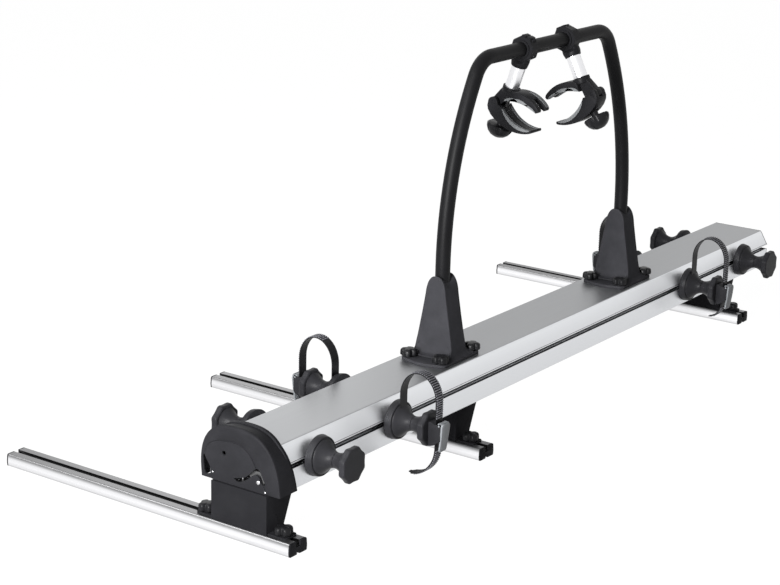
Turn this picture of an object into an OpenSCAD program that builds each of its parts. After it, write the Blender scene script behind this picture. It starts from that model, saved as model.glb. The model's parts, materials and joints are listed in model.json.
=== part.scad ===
// Slide-out bike carrier: a floor-mounted beam that draws out on a fixed inner rail and
// carries two bikes, one on each side, upright in wheel cradles and held by claw arms.
// Millimetres. X runs along the beam from its capped end, Y across it, Z up.
// The origin is the middle of the front rail's underside, below the beam's centreline.

/* [Cross rails] */
// Width of a cross rail
rail_w = 50; // [46:1:60]
// Height of a cross rail
rail_h = 24.8; // [22:1:32]
// Length of a cross rail with both end caps on
rail_len = 700; // [450:10:1000]
// Reach of the cross rails past the beam's centre on the short side
rail_short = 121; // [115:1:160]
// Shift of the middle rail along itself
mid_shift = -6; // [-20:1:4]
// Width of the slot in a rail's top
slot_w = 12; // [9:0.5:14]
// Wall of the rail extrusion
rail_wall = 2.4; // [1.8:0.1:3]
// Distance from the front rail to the middle rail
mid_x = 597; // [500:1:700]
// Distance from the front rail to the far rail
far_x = 1755; // [1650:1:1760]
// Diameter of the floor screw holes
floor_hole_d = 5.5; // [4:0.5:7]
// Thickness of a rail end cap's plate
rail_cap_t = 3; // [2:0.5:5]

/* [Brackets] */
// Thickness of the folded steel
plate_t = 3; // [2:0.5:4]
// Half the width of a bracket
bracket_half_w = 63.7; // [58:0.1:66]
// Distance from a rail's centreline to the front of its bracket's web
web_front = 18.7; // [14:0.1:22]
// Reach of a side flange behind the rail's centre, at its foot
flange_foot = 28; // [24:1:40]
// Reach of a side flange behind the rail's centre, at its top
flange_top = 58; // [52:1:70]
// Distance from the centreline to the foot knobs
foot_knob_y = 88; // [84:1:92]
// Height of the brackets' tops above the floor
bracket_top = 98.6; // [90:0.1:110]

/* [Beam] */
// Length of the beam extrusion
beam_len = 1947; // [1850:1:2100]
// Height of the beam extrusion
beam_h = 84.6; // [80:0.1:96]
// Half the width of the flat top plate
beam_top_half = 64; // [58:1:68]
// Half the width across the lips of the side slots
beam_half_w = 82.4; // [78:0.1:90]
// Wall of the beam extrusion
beam_wall = 3; // [2:0.1:4]
// Width of the mouth of the side slots
side_slot_w = 9.8; // [9:0.1:11]
// Height of the side slots' middle above the beam's underside
side_slot_z = 46.3; // [44:0.1:50]
// Half the width of the opening along the underside
under_half = 40; // [38:1:44]
// Gap between the brackets and the sliding beam
slide_gap = 0.8; // [0.5:0.1:1.5]
// Travel of the beam from stowed to fully out
slide_travel = 1200; // [800:10:1200]

/* [Inner rail] */
// Half the width of the inner rail's top plate
inner_half = 60; // [54:1:64]
// Half the width of the inner rail's foot
inner_foot_half = 36; // [30:1:37]
// Thickness of the inner rail's plates
inner_t = 3.5; // [3:0.1:5]
// Running gap at the glides
glide_gap = 0.1; // [0.05:0.01:0.2]
// Length of a glide pad
glide_len = 80; // [40:1:120]

/* [End cap] */
// Half the width of the cap at its feet
cap_half_w = 90; // [86:0.5:94]
// Height of the cap's arch at its front above the beam's underside
cap_front_h = 115; // [108:1:124]
// Height of the cap's arch at its rear above the beam's underside
cap_rear_h = 112; // [105:1:120]
// Wall of the cap
cap_wall = 3.5; // [2.5:0.1:5]
// Reach of the cap in front of the rail's centre, at its top
cap_nose = 29; // [26:0.5:36]

/* [Latch] */
// Radius of the latch bolt
latch_r = 3.5; // [3:0.1:4]
// Drop of the latch bolt into its hole
latch_lift = 5; // [4:0.1:6]

/* [Hoop and towers] */
// Diameter of the hoop tube
hoop_d = 30; // [26:1:32]
// Wall of the hoop tube
hoop_wall = 2; // [1.5:0.1:3]
// Middle of the hoop along the beam
hoop_x = 968.4; // [950:0.1:990]
// Distance from the hoop's middle to each tower
tower_off = 358; // [320:1:380]
// Height of the hoop's top bar above the floor
bar_z = 769.8; // [700:0.1:850]
// Radius of the bow of the hoop's legs
leg_bow_r = 760; // [700:10:1200]
// Height above the floor where the legs begin to bow
leg_bow_z = 370; // [352:1:400]
// Radius of the hoop's top corners
corner_r = 60; // [50:1:80]
// Height of a tower above the beam
tower_h = 162; // [140:1:164]
// Depth of the hoop's leg in its tower
socket_depth = 130; // [80:1:140]

/* [Claw arms] */
// Place of the left arm along the beam
arm_left_x = 885; // [870:1:900]
// Place of the right arm along the beam
arm_right_x = 1052; // [1035:1:1070]
// Lean of the left arm from straight down
arm_left_lean = 18; // [0:1:40]
// Lean of the right arm from straight down
arm_right_lean = 26; // [0:1:40]
// Opening of the right claw past the left one
right_claw_extra = 6; // [0:1:8]
// Diameter of the arm tube
arm_d = 30; // [26:1:32]
// Half the width of a claw
claw_half_w = 22; // [20:1:26]

/* [Wheel cradles] */
// Places of the right side's cradles along the beam
cradle_right_xs = [102, 342, 1515, 1797];
// Places of the left side's cradles along the beam
cradle_left_xs = [132, 394, 1571, 1825];
// Radius of a cradle's flange
flange_r = 37; // [34:0.5:40]
// Radius of a cradle's neck
neck_r = 14.5; // [12:0.5:17]
// Distance from the flange's back to the middle of the neck
neck_at = 42; // [38:1:48]
// Distance from the flange's back to the knob's outer face
knob_at = 83; // [80:1:90]
// Radius of the knob over its corners
knob_r = 35; // [30:0.5:37]
// Radius of the cradle's bolt
bolt_r = 4; // [3:0.1:4.5]

/* [Straps and buckles] */
// Width of a strap
strap_w = 22; // [18:1:24]
// Thickness of a strap without its teeth
strap_t = 2.2; // [1.8:0.1:3]
// Height of the strap's teeth
tooth_h = 1.1; // [0.8:0.1:1.6]
// Pitch of the strap's teeth
tooth_pitch = 4.4; // [4:0.1:6]
// Height of the front straps' loops above the bolt
loop_h = 104; // [90:1:115]
// How much taller the far straps' loops are
far_loop_extra = 16; // [0:1:20]
// Width of the gap inside the cradle's loop of strap
loop_w = 80.5; // [76:0.5:86]
// Radius of the curl at the front straps' tails
tail_r = 62; // [50:1:66]
// Radius of the curl at the far straps' tails
far_tail_r = 42; // [36:1:50]
// Height of the buckle
buckle_h = 50; // [40:1:54]
// Length of the buckle's lever
lever_len = 56; // [48:1:64]

/* [Hidden] */
fit_gap = 0.05;
eps = 0.01;
round_fn = 48;

// Heights of the beam and of what runs in it
beam_z0 = bracket_top + slide_gap;
beam_z1 = beam_z0 + beam_h;
slot_z = beam_z0 + side_slot_z;
slot_z0 = slot_z - side_slot_w / 2;
slot_z1 = slot_z + side_slot_w / 2;
lip_t = 4;
channel_extra = 3.8;
channel_depth = 14.4;
under_lip_z = beam_z0 + beam_wall;
inner_foot_t = 4;
inner_foot_z = bracket_top + inner_foot_t;
glide_t = 3.4;
inner_plate_z = bracket_top + 25.4;
inner_top_z = inner_plate_z + inner_t;
ceiling_z = inner_top_z + glide_t + glide_gap;
floor_z = ceiling_z + beam_wall;
inner_x0 = 2;
inner_x1 = far_x + flange_top - 13;
glide_x0 = 6;
stop_x = 420;
stop_len = 21.7;
rear_glide_x = 1650;

// Feet, knobs and screws
rail_xs = [0, mid_x, far_x];
rail_y0s = [-rail_short, -rail_short + mid_shift, -rail_short];
tab_reach = foot_knob_y + 16;
seat_bolt_xs = [12, 44];
seat_bolt_y = 24;
stud_r = 4;
hole_gap = 0.3;

// Hoop, worked out from its top bar and its bowed legs
hoop_r = hoop_d / 2;
bow_angle = asin((bar_z - corner_r - leg_bow_z) / (leg_bow_r - corner_r));
bow_cx = tower_off - leg_bow_r;
corner_cx = bow_cx + (leg_bow_r - corner_r) * cos(bow_angle);
socket_z = beam_z1 + tower_h - socket_depth;

// Claw arms, in a frame of their own: u towards the mouth, v down the arm from the bar
arm_r = arm_d / 2;
bush_t = 2.5;
bush_half = 15;
flange_t = 2;
collar_r = hoop_r + bush_t + 6;
collar_half = bush_half - flange_t - 0.2;
tube_v0 = 30;
tube_v1 = 94;
jaw_pivot = [-21.5, 128];
pivot_r = 11;
pin_r = 3;
hub_half = 9;
cheek_gap = 0.3;
screw_u = 2;
screw_r = 4;
screw_v0 = 103;
claw_knob_v = 171;
upper_in_c = [52, 195];
upper_in_r = 95;
upper_out_c = [42, 160];
upper_out_r = 77;
lower_in_c = [56, 72];
lower_in_r = 78;
lower_out_c = [32, 72];
lower_out_r = 94;

// Cradles: d is the distance out from the beam's side
cradle_gap = 0.6;
cradle_y = beam_half_w + cradle_gap;
flange_t2 = 14;
cone_r = 32;
spool_len = neck_at - flange_t2 - 1.5;
knob_disc_t = 15;
knob_gap = 0.4;
strapped = [1, 2];
strap_in = 17;
strap_out = strap_in + loop_w;
buckle_d0 = knob_at + knob_gap;
buckle_base = strap_out - strap_t / 2 - 0.3 - buckle_d0;
cheek_t = 2;
buckle_half_w = strap_w / 2 + 0.4 + cheek_t;
lever_pin_d = strap_out + 9;
buckle_mid = -6;
lever_pin_z = 13;
lever_pin_r = 2;

// Vectors and outlines
function unit(v) = v / norm(v);
function arc_points(c, r, a0, a1, n) = [for (i = [0:n]) c + r * [cos(a0 + (a1 - a0) * i / n), sin(a0 + (a1 - a0) * i / n)]];
function wrap(a) = a > 180 ? a - 360 : a < -180 ? a + 360 : a;
// Round a corner at b, between a and c, by an arc of radius r
function fillet_points(a, b, c, r, n) =
    let (u = unit(a - b), w = unit(c - b), half = acos(u * w) / 2,
        m = b + unit(u + w) * r / sin(half), s = b + u * r / tan(half) - m, e = b + w * r / tan(half) - m,
        a0 = atan2(s[1], s[0]), turn = wrap(atan2(e[1], e[0]) - a0))
    arc_points(m, r, a0, a0 + turn, n);
function rounded(pts, rs, n = 5) = [for (i = [0:len(pts) - 1])
    each rs[i] > 0
        ? fillet_points(pts[(i + len(pts) - 1) % len(pts)], pts[i], pts[(i + 1) % len(pts)], rs[i], n)
        : [pts[i]]];
function mirrored(pts) = [for (p = pts) [-p[0], p[1]]];
function on_circle_v(c, r, u, side) = c[1] + side * sqrt(r * r - pow(u - c[0], 2));

// Extrude an outline drawn in Y and Z along X, from x0 to x1
module along_x(x0, x1) {
    translate([x0, 0, 0]) rotate([90, 0, 90]) linear_extrude(x1 - x0) children();
}

// Extrude an outline drawn in X and Z along Y, from y0 to y1
module along_y(y0, y1) {
    translate([0, y1, 0]) rotate([90, 0, 0]) linear_extrude(y1 - y0) children();
}

// A box from its lowest to its highest corner
module span(low, high) {
    translate(low) cube(high - low);
}

module rail_outline() {
    half = rail_w / 2;
    polygon(rounded([[-half + 1, 0], [half - 1, 0], [half, 9], [half - 1.5, rail_h], [-half + 1.5, rail_h],
        [-half, 9]], [2, 2, 12, 4, 4, 12]));
}

rail_lip = 3;
channel_half = slot_w / 2 + 4;
channel_z = rail_h - 11;
chamber_x0 = channel_half + rail_wall;
chamber_x1 = rail_w / 2 - rail_wall - 0.6;
chamber_z1 = rail_h - rail_wall - 1;

module side_chamber(gap) {
    polygon([[chamber_x0 + gap, rail_wall + gap], [chamber_x1 - 0.6 - gap, rail_wall + gap],
        [chamber_x1 - gap, 9], [chamber_x1 - 1.2 - gap, chamber_z1 - gap], [chamber_x0 + gap, chamber_z1 - gap]]);
}

module rail_body(i) {
    y0 = rail_y0s[i] + rail_cap_t;
    y1 = rail_y0s[i] + rail_len - rail_cap_t;
    color("silver") difference() {
        translate([rail_xs[i], 0, 0]) along_y(y0, y1) difference() {
            rail_outline();
            translate([-slot_w / 2, rail_h - rail_lip - eps]) square([slot_w, rail_lip + 1]);
            translate([-channel_half, channel_z]) square([2 * channel_half, rail_h - rail_lip - channel_z]);
            translate([-channel_half, rail_wall]) square([2 * channel_half, channel_z - 2 * rail_wall]);
            side_chamber(0);
            mirror([1, 0]) side_chamber(0);
        }
        for (y = floor_holes(i)) translate([rail_xs[i], y, -1]) cylinder(d = floor_hole_d, h = rail_h, $fn = 32);
    }
}

// Floor screws near each end of a rail and midway
function floor_holes(i) = [for (s = [0, 1, 2]) rail_y0s[i] + floor_inset + s * (rail_len - 2 * floor_inset) / 2];
floor_inset = 14;

module rail_cap() {
    plug = 12;
    along_y(0, rail_cap_t) difference() {
        rail_outline();
        translate([-slot_w / 2, channel_z]) square([slot_w, rail_h]);
        translate([-slot_w / 2 + 2, -1]) square([slot_w - 4, rail_wall + 3]);
    }
    along_y(rail_cap_t - eps, rail_cap_t + plug) {
        side_chamber(0.15);
        mirror([1, 0]) side_chamber(0.15);
    }
}

module rail_end_caps() {
    color("dimgray") for (i = [0, 1, 2]) {
        translate([rail_xs[i], rail_y0s[i], 0]) rail_cap();
        translate([rail_xs[i], rail_y0s[i] + rail_len, 0]) mirror([0, 1, 0]) rail_cap();
    }
}

module foot_tab(side) {
    hole = stud_r + hole_gap;
    y0 = bracket_half_w - plate_t;
    mirror([0, side < 0 ? 1 : 0, 0]) difference() {
        translate([0, 0, rail_h]) linear_extrude(plate_t)
            polygon(rounded([[-15, y0], [22, y0], [20, tab_reach], [-15, tab_reach]], [0, 0, 7, 7]));
        translate([0, foot_knob_y, rail_h - 1]) cylinder(r = hole, h = plate_t + 2, $fn = 32);
    }
}

module bracket(x) {
    color("black") translate([x, 0, 0]) {
        difference() {
            union() {
                span([-web_front, -bracket_half_w, rail_h], [plate_t - web_front, bracket_half_w, bracket_top]);
                span([-web_front, -bracket_half_w + 1, bracket_top - plate_t],
                    [flange_top - 3, bracket_half_w - 1, bracket_top]);
                for (s = [-1, 1]) {
                    y = s > 0 ? bracket_half_w - plate_t : -bracket_half_w;
                    along_y(y, y + plate_t) polygon([[-web_front, rail_h], [flange_foot, rail_h],
                        [flange_top, bracket_top], [-web_front, bracket_top]]);
                    foot_tab(s);
                }
            }
            for (bx = seat_bolt_xs, s = [-1, 1])
                translate([bx, s * seat_bolt_y, bracket_top - plate_t - 1]) cylinder(r = 3.3, h = plate_t + 2, $fn = 32);
        }
    }
}

module inner_rail() {
    latch_hole_r = latch_r + 0.5;
    color("gray") difference() {
        union() {
            along_x(inner_x0, inner_x1) difference() {
                union() {
                    translate([-inner_foot_half, bracket_top]) square([2 * inner_foot_half, inner_top_z - bracket_top]);
                    translate([-inner_half, inner_plate_z]) square([2 * inner_half, inner_t]);
                }
                translate([-inner_foot_half + inner_t, inner_foot_z])
                    square([2 * (inner_foot_half - inner_t), inner_plate_z - inner_foot_z]);
            }
            span([latch_x - 6.3, -14, bracket_top], [inner_x0 + 1, 14, inner_foot_z]);
            span([stop_x, -15, inner_top_z - 1], [stop_x + stop_len, 15, inner_top_z + glide_t - 0.3]);
        }
        translate([latch_x, 0, bracket_top - 1]) cylinder(r = latch_hole_r, h = 10, $fn = 32);
        for (x = rail_xs, bx = seat_bolt_xs, s = [-1, 1])
            translate([x + bx, s * seat_bolt_y, bracket_top - 1]) cylinder(r = 3.3, h = inner_foot_t + 2, $fn = 32);
    }
}

// A hand knob of four lobes, standing on z = 0
module lobed_knob(hub_r, lobe_r, lobe_at, h, shank_r, shank_h) {
    cylinder(r = shank_r, h = shank_h + 1, $fn = 32);
    translate([0, 0, shank_h]) {
        cylinder(r = hub_r, h = h, $fn = 32);
        for (a = [45:90:315]) rotate(a) translate([lobe_at, 0, 0.8]) cylinder(r = lobe_r, h = h - 2, $fn = 24);
    }
}

module foot_clamp() {
    t_head = 3.5;
    translate([0, 0, rail_h + plate_t + fit_gap]) lobed_knob(9, 6, 10.5, 12, 8, 5);
    translate([0, 0, channel_z + 2]) cylinder(r = stud_r, h = rail_h + plate_t - channel_z + 1, $fn = 32);
    span([-stud_r - 4, -7, channel_z + 4], [stud_r + 4, 7, channel_z + 4 + t_head]);
}

module seat_bolt() {
    translate([0, 0, bracket_top - plate_t - 2]) cylinder(r = 3, h = plate_t + inner_foot_t + 6, $fn = 24);
    translate([0, 0, inner_foot_z + fit_gap]) cylinder(r = 5.5, h = 4, $fn = 6);
    translate([0, 0, bracket_top - plate_t - 5 - fit_gap]) cylinder(r = 5.5, h = 5, $fn = 6);
}

module bracket_fasteners() {
    color("dimgray") for (x = rail_xs) {
        for (s = [-1, 1]) translate([x, s * foot_knob_y, 0]) foot_clamp();
        for (bx = seat_bolt_xs, s = [-1, 1]) translate([x + bx, s * seat_bolt_y, 0]) seat_bolt();
    }
}

module front_glides() {
    color("ivory") for (s = [0, 1]) mirror([0, s, 0]) {
        span([glide_x0, 28, inner_top_z], [glide_x0 + glide_len, inner_half - 2, inner_top_z + glide_t]);
        span([glide_x0, inner_foot_half, under_lip_z + glide_gap], [glide_x0 + glide_len, inner_half, inner_plate_z]);
    }
}

module beam_outline() {
    half = [[beam_top_half - 2.5, beam_z1], [beam_top_half, beam_z1 - 1.4],
        [beam_half_w, slot_z1 + 1], [beam_half_w, slot_z0], [beam_half_w - 1, beam_z0 + 2],
        [beam_half_w - 3, beam_z0]];
    other = mirrored(half);
    polygon(concat(half, [for (i = [len(half) - 1:-1:0]) other[i]]));
}

// The hollows on one side of the beam's outline
module beam_hollows() {
    side_in = beam_half_w - lip_t;
    back = side_in - channel_depth + lip_t;
    rib = 25;
    rib_t = 2.5;
    channel_top = slot_z1 + channel_extra;
    translate([side_in - 1, slot_z0]) square([lip_t + 5, side_slot_w]);
    translate([back, slot_z0 - channel_extra])
        polygon([[0, 0], [side_in - back, 0], [side_in - back, side_slot_w + channel_extra + 1],
            [side_in - back - 2, side_slot_w + 2 * channel_extra], [0, side_slot_w + 2 * channel_extra]]);
    polygon([[rib + rib_t / 2, floor_z], [back - 2.5, floor_z], [back - 2.5, channel_top + 2.5],
        [beam_half_w - 7.4, channel_top + 2.5], [beam_top_half - 2.5, beam_z1 - beam_wall],
        [rib + rib_t / 2, beam_z1 - beam_wall]]);
    translate([-1, floor_z]) square([rib - rib_t / 2 + 1, beam_z1 - beam_wall - floor_z]);
    translate([-1, under_lip_z]) square([beam_half_w - 3.4, ceiling_z - under_lip_z]);
    translate([-1, beam_z0 - 1]) square([under_half + 1, beam_wall + 2]);
}

module beam() {
    color("lightgray") difference() {
        along_x(0, beam_len) difference() {
            beam_outline();
            beam_hollows();
            mirror([1, 0]) beam_hollows();
        }
        for (s = [-1, 1], k = tower_knob_at) translate([hoop_x + s * tower_off + k[0], k[1], beam_z1 - beam_wall - 1])
            cylinder(r = stud_r + hole_gap, h = beam_wall + 2, $fn = 32);
    }
}

// An arch of the cap: the upper half of a superellipse
arch_power = 2.6;
function arch(half_w, h, n = 14) = concat([[half_w, 0]],
    [for (i = [1:2 * n - 1]) let (a = 90 * i / n, c = cos(a), s = sin(a))
        [half_w * sign(c) * pow(abs(c), 2 / arch_power), h * pow(s, 2 / arch_power)]], [[-half_w, 0]]);

cap_rear_top = 17;
cap_rear_foot = 36;
cap_front_foot = 15.5;
cap_z0 = beam_z0 + 0.6;
cap_inner_x = -cap_front_foot + cap_wall - 1;
latch_x = -5;
lever_pivot = [-45, 120 - 99.4];
lever_x = -11.5;
lever_t = 3;
fork_z = 39.7;

cap_side_wall = 2;

module cap_shell(beside, above, x0, x1) {
    hull() {
        along_x(x0, x0 + 1) polygon(arch(cap_half_w - beside, cap_front_h - above));
        along_x(x1 - 1, x1) polygon(arch(cap_half_w - beside, cap_rear_h - above));
    }
}

// The finger slot in the cap's face, with its outer edge along the panel's rim
module finger_slot() {
    polygon(rounded([[13, 14], [2, 10], [-14, 17], [-37, 33.5], [-46, 31], [-52, 18], [-62, 19], [-54, 30],
        [-49, 43], [-41, 46], [-28, 34], [-12, 22]], [1, 2, 6, 3, 2, 2, 1, 3, 3, 3, 8, 8], 3));
}

module end_cap() {
    rear = 6;
    color("black") translate([0, 0, cap_z0]) difference() {
        union() {
            difference() {
                cap_shell(0, 0, -cap_nose - 4, cap_rear_foot + 2);
                // Rear edge: upright behind the arch, then slanting back to the feet
                along_y(-100, 100) polygon([[cap_rear_top, 150], [cap_rear_top, 86], [cap_rear_foot, -1],
                    [80, -1], [80, 150]]);
                // Front face, leaning forwards
                along_y(-100, 100) polygon([[-cap_front_foot, 0], [-cap_nose, cap_front_h + 1], [-80, cap_front_h + 1],
                    [-80, -1], [-cap_front_foot, -1]]);
                // The room for the beam's end and the latch, open below and behind
                difference() {
                    translate([0, 0, -eps]) cap_shell(cap_side_wall, cap_wall, -cap_nose - 6, cap_rear_foot + 6);
                    along_y(-100, 100) polygon([[-80, -2], [-cap_front_foot + cap_wall, -2],
                        [-cap_nose + cap_wall, cap_front_h], [-80, cap_front_h]]);
                }
                // Panel step: the border is pressed in round the raised panel
                along_x(-80, -17) finger_slot();
                along_x(-80, -8) translate([30, 58]) circle(r = 4.2, $fn = 24);
                // The hollow between the far foot and the panel
                along_x(-80, -10) polygon(rounded([[65, 12], [80, 12], [80, 40], [76, 44], [66, 30]],
                    [1, 2, 3, 3, 2], 3));
            }
            // Guide for the latch bolt
            span([-cap_front_foot, -8, 8], [-0.6, 8, 21]);
        }
        translate([latch_x, 0, -1]) cylinder(r = latch_r + fit_gap, h = 40, $fn = 32);
        translate([0, lever_pivot[0], lever_pivot[1]]) rotate([0, 90, 0])
            translate([0, 0, -40]) cylinder(r = 2.5 + fit_gap, h = 36, $fn = 32);
    }
    // Pivot screw of the release lever
    color("silver") translate([0, lever_pivot[0], cap_z0 + lever_pivot[1]]) rotate([0, 90, 0]) {
        translate([0, 0, -cap_front_foot - 4.5]) cylinder(r = 2.5, h = 16, $fn = 32);
        translate([0, 0, -cap_front_foot - 4.5]) cylinder(r = 3.6, h = 1.6, $fn = 32);
    }
}

module end_plate() {
    plate = beam_z1 - beam_z0;
    color("black") along_x(beam_len, beam_len + 3) difference() {
        beam_outline();
        for (s = [0, 1]) mirror([s, 0]) {
            translate([beam_half_w - channel_depth, slot_z0]) square([channel_depth + 5, side_slot_w]);
            translate([-1, beam_z0 - 1]) square([beam_half_w - 3.4, plate / 2 - 9]);
        }
    }
}

module rear_glides() {
    color("ivory") {
        for (s = [0, 1]) mirror([0, s, 0])
            span([rear_glide_x, under_half + 1, under_lip_z], [rear_glide_x + glide_len, inner_half, inner_plate_z - glide_gap]);
        span([stop_x + stop_len + slide_travel + 0.3, -15, inner_top_z + 0.3],
            [stop_x + stop_len + slide_travel + 18, 15, ceiling_z]);
    }
}

tower_knob_at = [[-56, -38], [56, -38], [-56, 38], [56, 38]];
plate_h = 6;

// A slab with round corners, standing on z
module slab(hx, hy, r, z, h) {
    translate([0, 0, z]) linear_extrude(h)
        polygon(rounded([[-hx, -hy], [hx, -hy], [hx, hy], [-hx, hy]], [r, r, r, r], 5));
}

module tower(side) {
    color("dimgray") translate([hoop_x + side * tower_off, 0, beam_z1]) difference() {
        union() {
            linear_extrude(plate_h) polygon(rounded([[-65, -53], [65, -53], [80, 0], [65, 53], [-65, 53], [-80, 0]],
                [14, 14, 60, 14, 14, 60], 6));
            hull() {
                slab(49, 48, 14, plate_h - 1, 1);
                slab(40.5, 43.8, 12, plate_h + 6, 1);
            }
            hull() {
                slab(40.5, 43.8, 12, plate_h + 5, 1);
                slab(33, 41, 12, 46, 1);
                slab(24.5, 28.5, 11, tower_h - 26, 1);
                slab(22.5, 25.5, 10.5, tower_h - 13, 1);
                slab(20.5, 22.5, 10, tower_h - 5, 1);
                slab(17.5, 17.5, 9, tower_h - 1, 1);
            }
        }
        translate([0, 0, tower_h - socket_depth]) cylinder(r = hoop_r + fit_gap, h = socket_depth + 1, $fn = round_fn);
        for (k = tower_knob_at) translate([k[0], k[1], -1]) cylinder(r = stud_r + hole_gap, h = plate_h + 2, $fn = 32);
    }
}

module tower_clamps() {
    color("black") for (s = [-1, 1], k = tower_knob_at)
        translate([hoop_x + s * tower_off + k[0], k[1], beam_z1]) rotate(k[0] * k[1] > 0 ? 20 : -25) {
            translate([0, 0, plate_h + fit_gap]) lobed_knob(8.5, 6.5, 11, 12, 7.5, 5);
            translate([0, 0, -beam_wall - 8]) cylinder(r = stud_r, h = plate_h + beam_wall + 9, $fn = 32);
            translate([0, 0, -beam_wall - 6]) cylinder(r = 7, h = 6 - fit_gap, $fn = 6);
        }
}

module tube_ring() {
    difference() {
        circle(r = hoop_r, $fn = round_fn);
        circle(r = hoop_r - hoop_wall, $fn = round_fn);
    }
}

// One leg of the hoop with its bow, and the elbow above it
module hoop_leg() {
    seam = 0.02;
    translate([tower_off, 0, socket_z]) linear_extrude(leg_bow_z - socket_z) tube_ring();
    translate([bow_cx, 0, leg_bow_z]) rotate([90, 0, 0]) rotate_extrude(angle = bow_angle, $fn = 180)
        translate([leg_bow_r, 0]) tube_ring();
    translate([corner_cx, 0, bar_z - corner_r]) rotate([90, 0, 0]) rotate([0, 0, bow_angle + seam])
        rotate_extrude(angle = 90 - bow_angle - 2 * seam, $fn = 96) translate([corner_r, 0]) tube_ring();
}

module hoop() {
    color("black") translate([hoop_x, 0, 0]) {
        hoop_leg();
        mirror([1, 0, 0]) hoop_leg();
        translate([-corner_cx, 0, bar_z]) rotate([0, 90, 0]) linear_extrude(2 * corner_cx) tube_ring();
    }
}

module latch_lever() {
    y = lever_pivot[0];
    z = lever_pivot[1];
    color("dimgray") translate([0, 0, cap_z0]) difference() {
        union() {
            along_x(lever_x, lever_x + lever_t) polygon(rounded([[y - 8, z - 7], [y + 6, z - 7], [-6, fork_z - 6], [14, fork_z - 6],
                [14, fork_z], [-13, fork_z], [y - 4, z + 16], [y - 8, z + 8]], [4, 3, 3, 1, 1, 6, 4, 4], 3));
            span([lever_x, -13, fork_z - 6], [-0.8, 14, fork_z]);
        }
        span([latch_x - latch_r - 1, -latch_r - 4, 20], [5, latch_r + 1, 50]);
        translate([0, y, z]) rotate([0, 90, 0]) translate([0, 0, lever_x - 2])
            cylinder(r = 2.5 + fit_gap, h = lever_t + 4, $fn = 32);
    }
}

module latch_bolt() {
    color("silver") translate([latch_x, 0, 0]) {
        translate([0, 0, bracket_top + 0.3 + latch_lift]) cylinder(r = latch_r, h = 56, $fn = 32);
        translate([0, 0, cap_z0 + fork_z + 0.3]) cylinder(r = 8, h = 4, $fn = 32);
    }
}

// Carry a piece from an arm's own frame to its place on the bar; side 1 leans to +Y, -1 to -Y
module on_arm(side) {
    x = side > 0 ? arm_left_x : arm_right_x;
    lean = side > 0 ? arm_left_lean : arm_right_lean;
    translate([x, 0, bar_z]) mirror([0, side > 0 ? 0 : 1, 0]) rotate([lean, 0, 0]) children();
}

// Extrude an outline of u and v across a claw, from x0 to x1
module claw_slab(x0, x1, pts) {
    along_x(x0, x1) polygon([for (p = pts) [-p[0], -p[1]]]);
}

module claw_cross(p, r, x0, x1) {
    translate([x0, -p[0], -p[1]]) rotate([0, 90, 0]) cylinder(r = r, h = x1 - x0, $fn = round_fn);
}

module arm_bush(side) {
    color("dimgray") on_arm(side) rotate([0, 90, 0]) difference() {
        union() {
            translate([0, 0, -bush_half]) cylinder(r = hoop_r + bush_t, h = 2 * bush_half, $fn = round_fn);
            for (z = [-bush_half, bush_half - flange_t])
                translate([0, 0, z]) cylinder(r = hoop_r + bush_t + 1.5, h = flange_t, $fn = round_fn);
        }
        translate([0, 0, -bush_half - 1]) cylinder(r = hoop_r + fit_gap, h = 2 * bush_half + 2, $fn = round_fn);
    }
}

module arm_collar(side) {
    ear_u = 9;
    ear_v = 36;
    socket_r = arm_r + 2.5;
    color("black") on_arm(side) difference() {
        union() {
            rotate([0, 90, 0]) translate([0, 0, -collar_half]) cylinder(r = collar_r, h = 2 * collar_half, $fn = round_fn);
            translate([0, 0, -tube_v0 - 8]) cylinder(r1 = socket_r, r2 = socket_r + 1.5, h = 20, $fn = round_fn);
            along_x(-collar_half, collar_half) polygon(rounded([[-ear_u, 10], [ear_u + 6, 10], [ear_u + 1, ear_v - 10],
                [ear_u - 4, ear_v - 6], [-ear_u, ear_v - 4]], [0, 0, 3, 3, 3]));
        }
        rotate([0, 90, 0]) translate([0, 0, -20]) cylinder(r = hoop_r + bush_t + fit_gap, h = 40, $fn = round_fn);
        // Room for the bush's flanges
        for (m = [0, 1]) mirror([m, 0, 0]) rotate([0, 90, 0]) translate([0, 0, collar_half])
            cylinder(r = hoop_r + bush_t + 2, h = 10, $fn = round_fn);
        // Split of the pinch clamp, and its bolt
        span([-30, -1, 12], [30, 1, ear_v]);
        translate([0, -20, ear_v - 13]) rotate([-90, 0, 0]) cylinder(r = 2.6, h = 40, $fn = 24);
        translate([0, 0, -tube_v0 - 20]) cylinder(r = arm_r + fit_gap, h = 20, $fn = round_fn);
    }
    color("silver") on_arm(side) translate([0, -ear_u - 2, ear_v - 13]) rotate([-90, 0, 0]) {
        cylinder(r = 2.5, h = 2 * ear_u + 2, $fn = 24);
        translate([0, 0, -2]) cylinder(r = 4.2, h = 4 - fit_gap, $fn = 24);
    }
}

module arm_tube(side) {
    color("silver") on_arm(side) translate([0, 0, -tube_v1]) difference() {
        cylinder(r = arm_r, h = tube_v1 - tube_v0, $fn = round_fn);
        translate([0, 0, -1]) cylinder(r = arm_r - 1.8, h = tube_v1 - tube_v0 + 2, $fn = round_fn);
    }
}

// The upper jaw's outline from u0 to its tip
function upper_outline(u0) = let (n = 12, u1 = 82, u2 = 77) concat(
    [for (i = [0:n]) let (u = u0 + (u1 - u0) * i / n) [u, on_circle_v(upper_out_c, upper_out_r, u, -1)]],
    [[u1 + 3.5, 98.5], [u1 + 3, 102.5], [u1 - 0.5, 105]],
    [for (i = [0:n]) let (u = u2 + (u0 - u2) * i / n) [u, on_circle_v(upper_in_c, upper_in_r, u, -1)]]);

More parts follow.
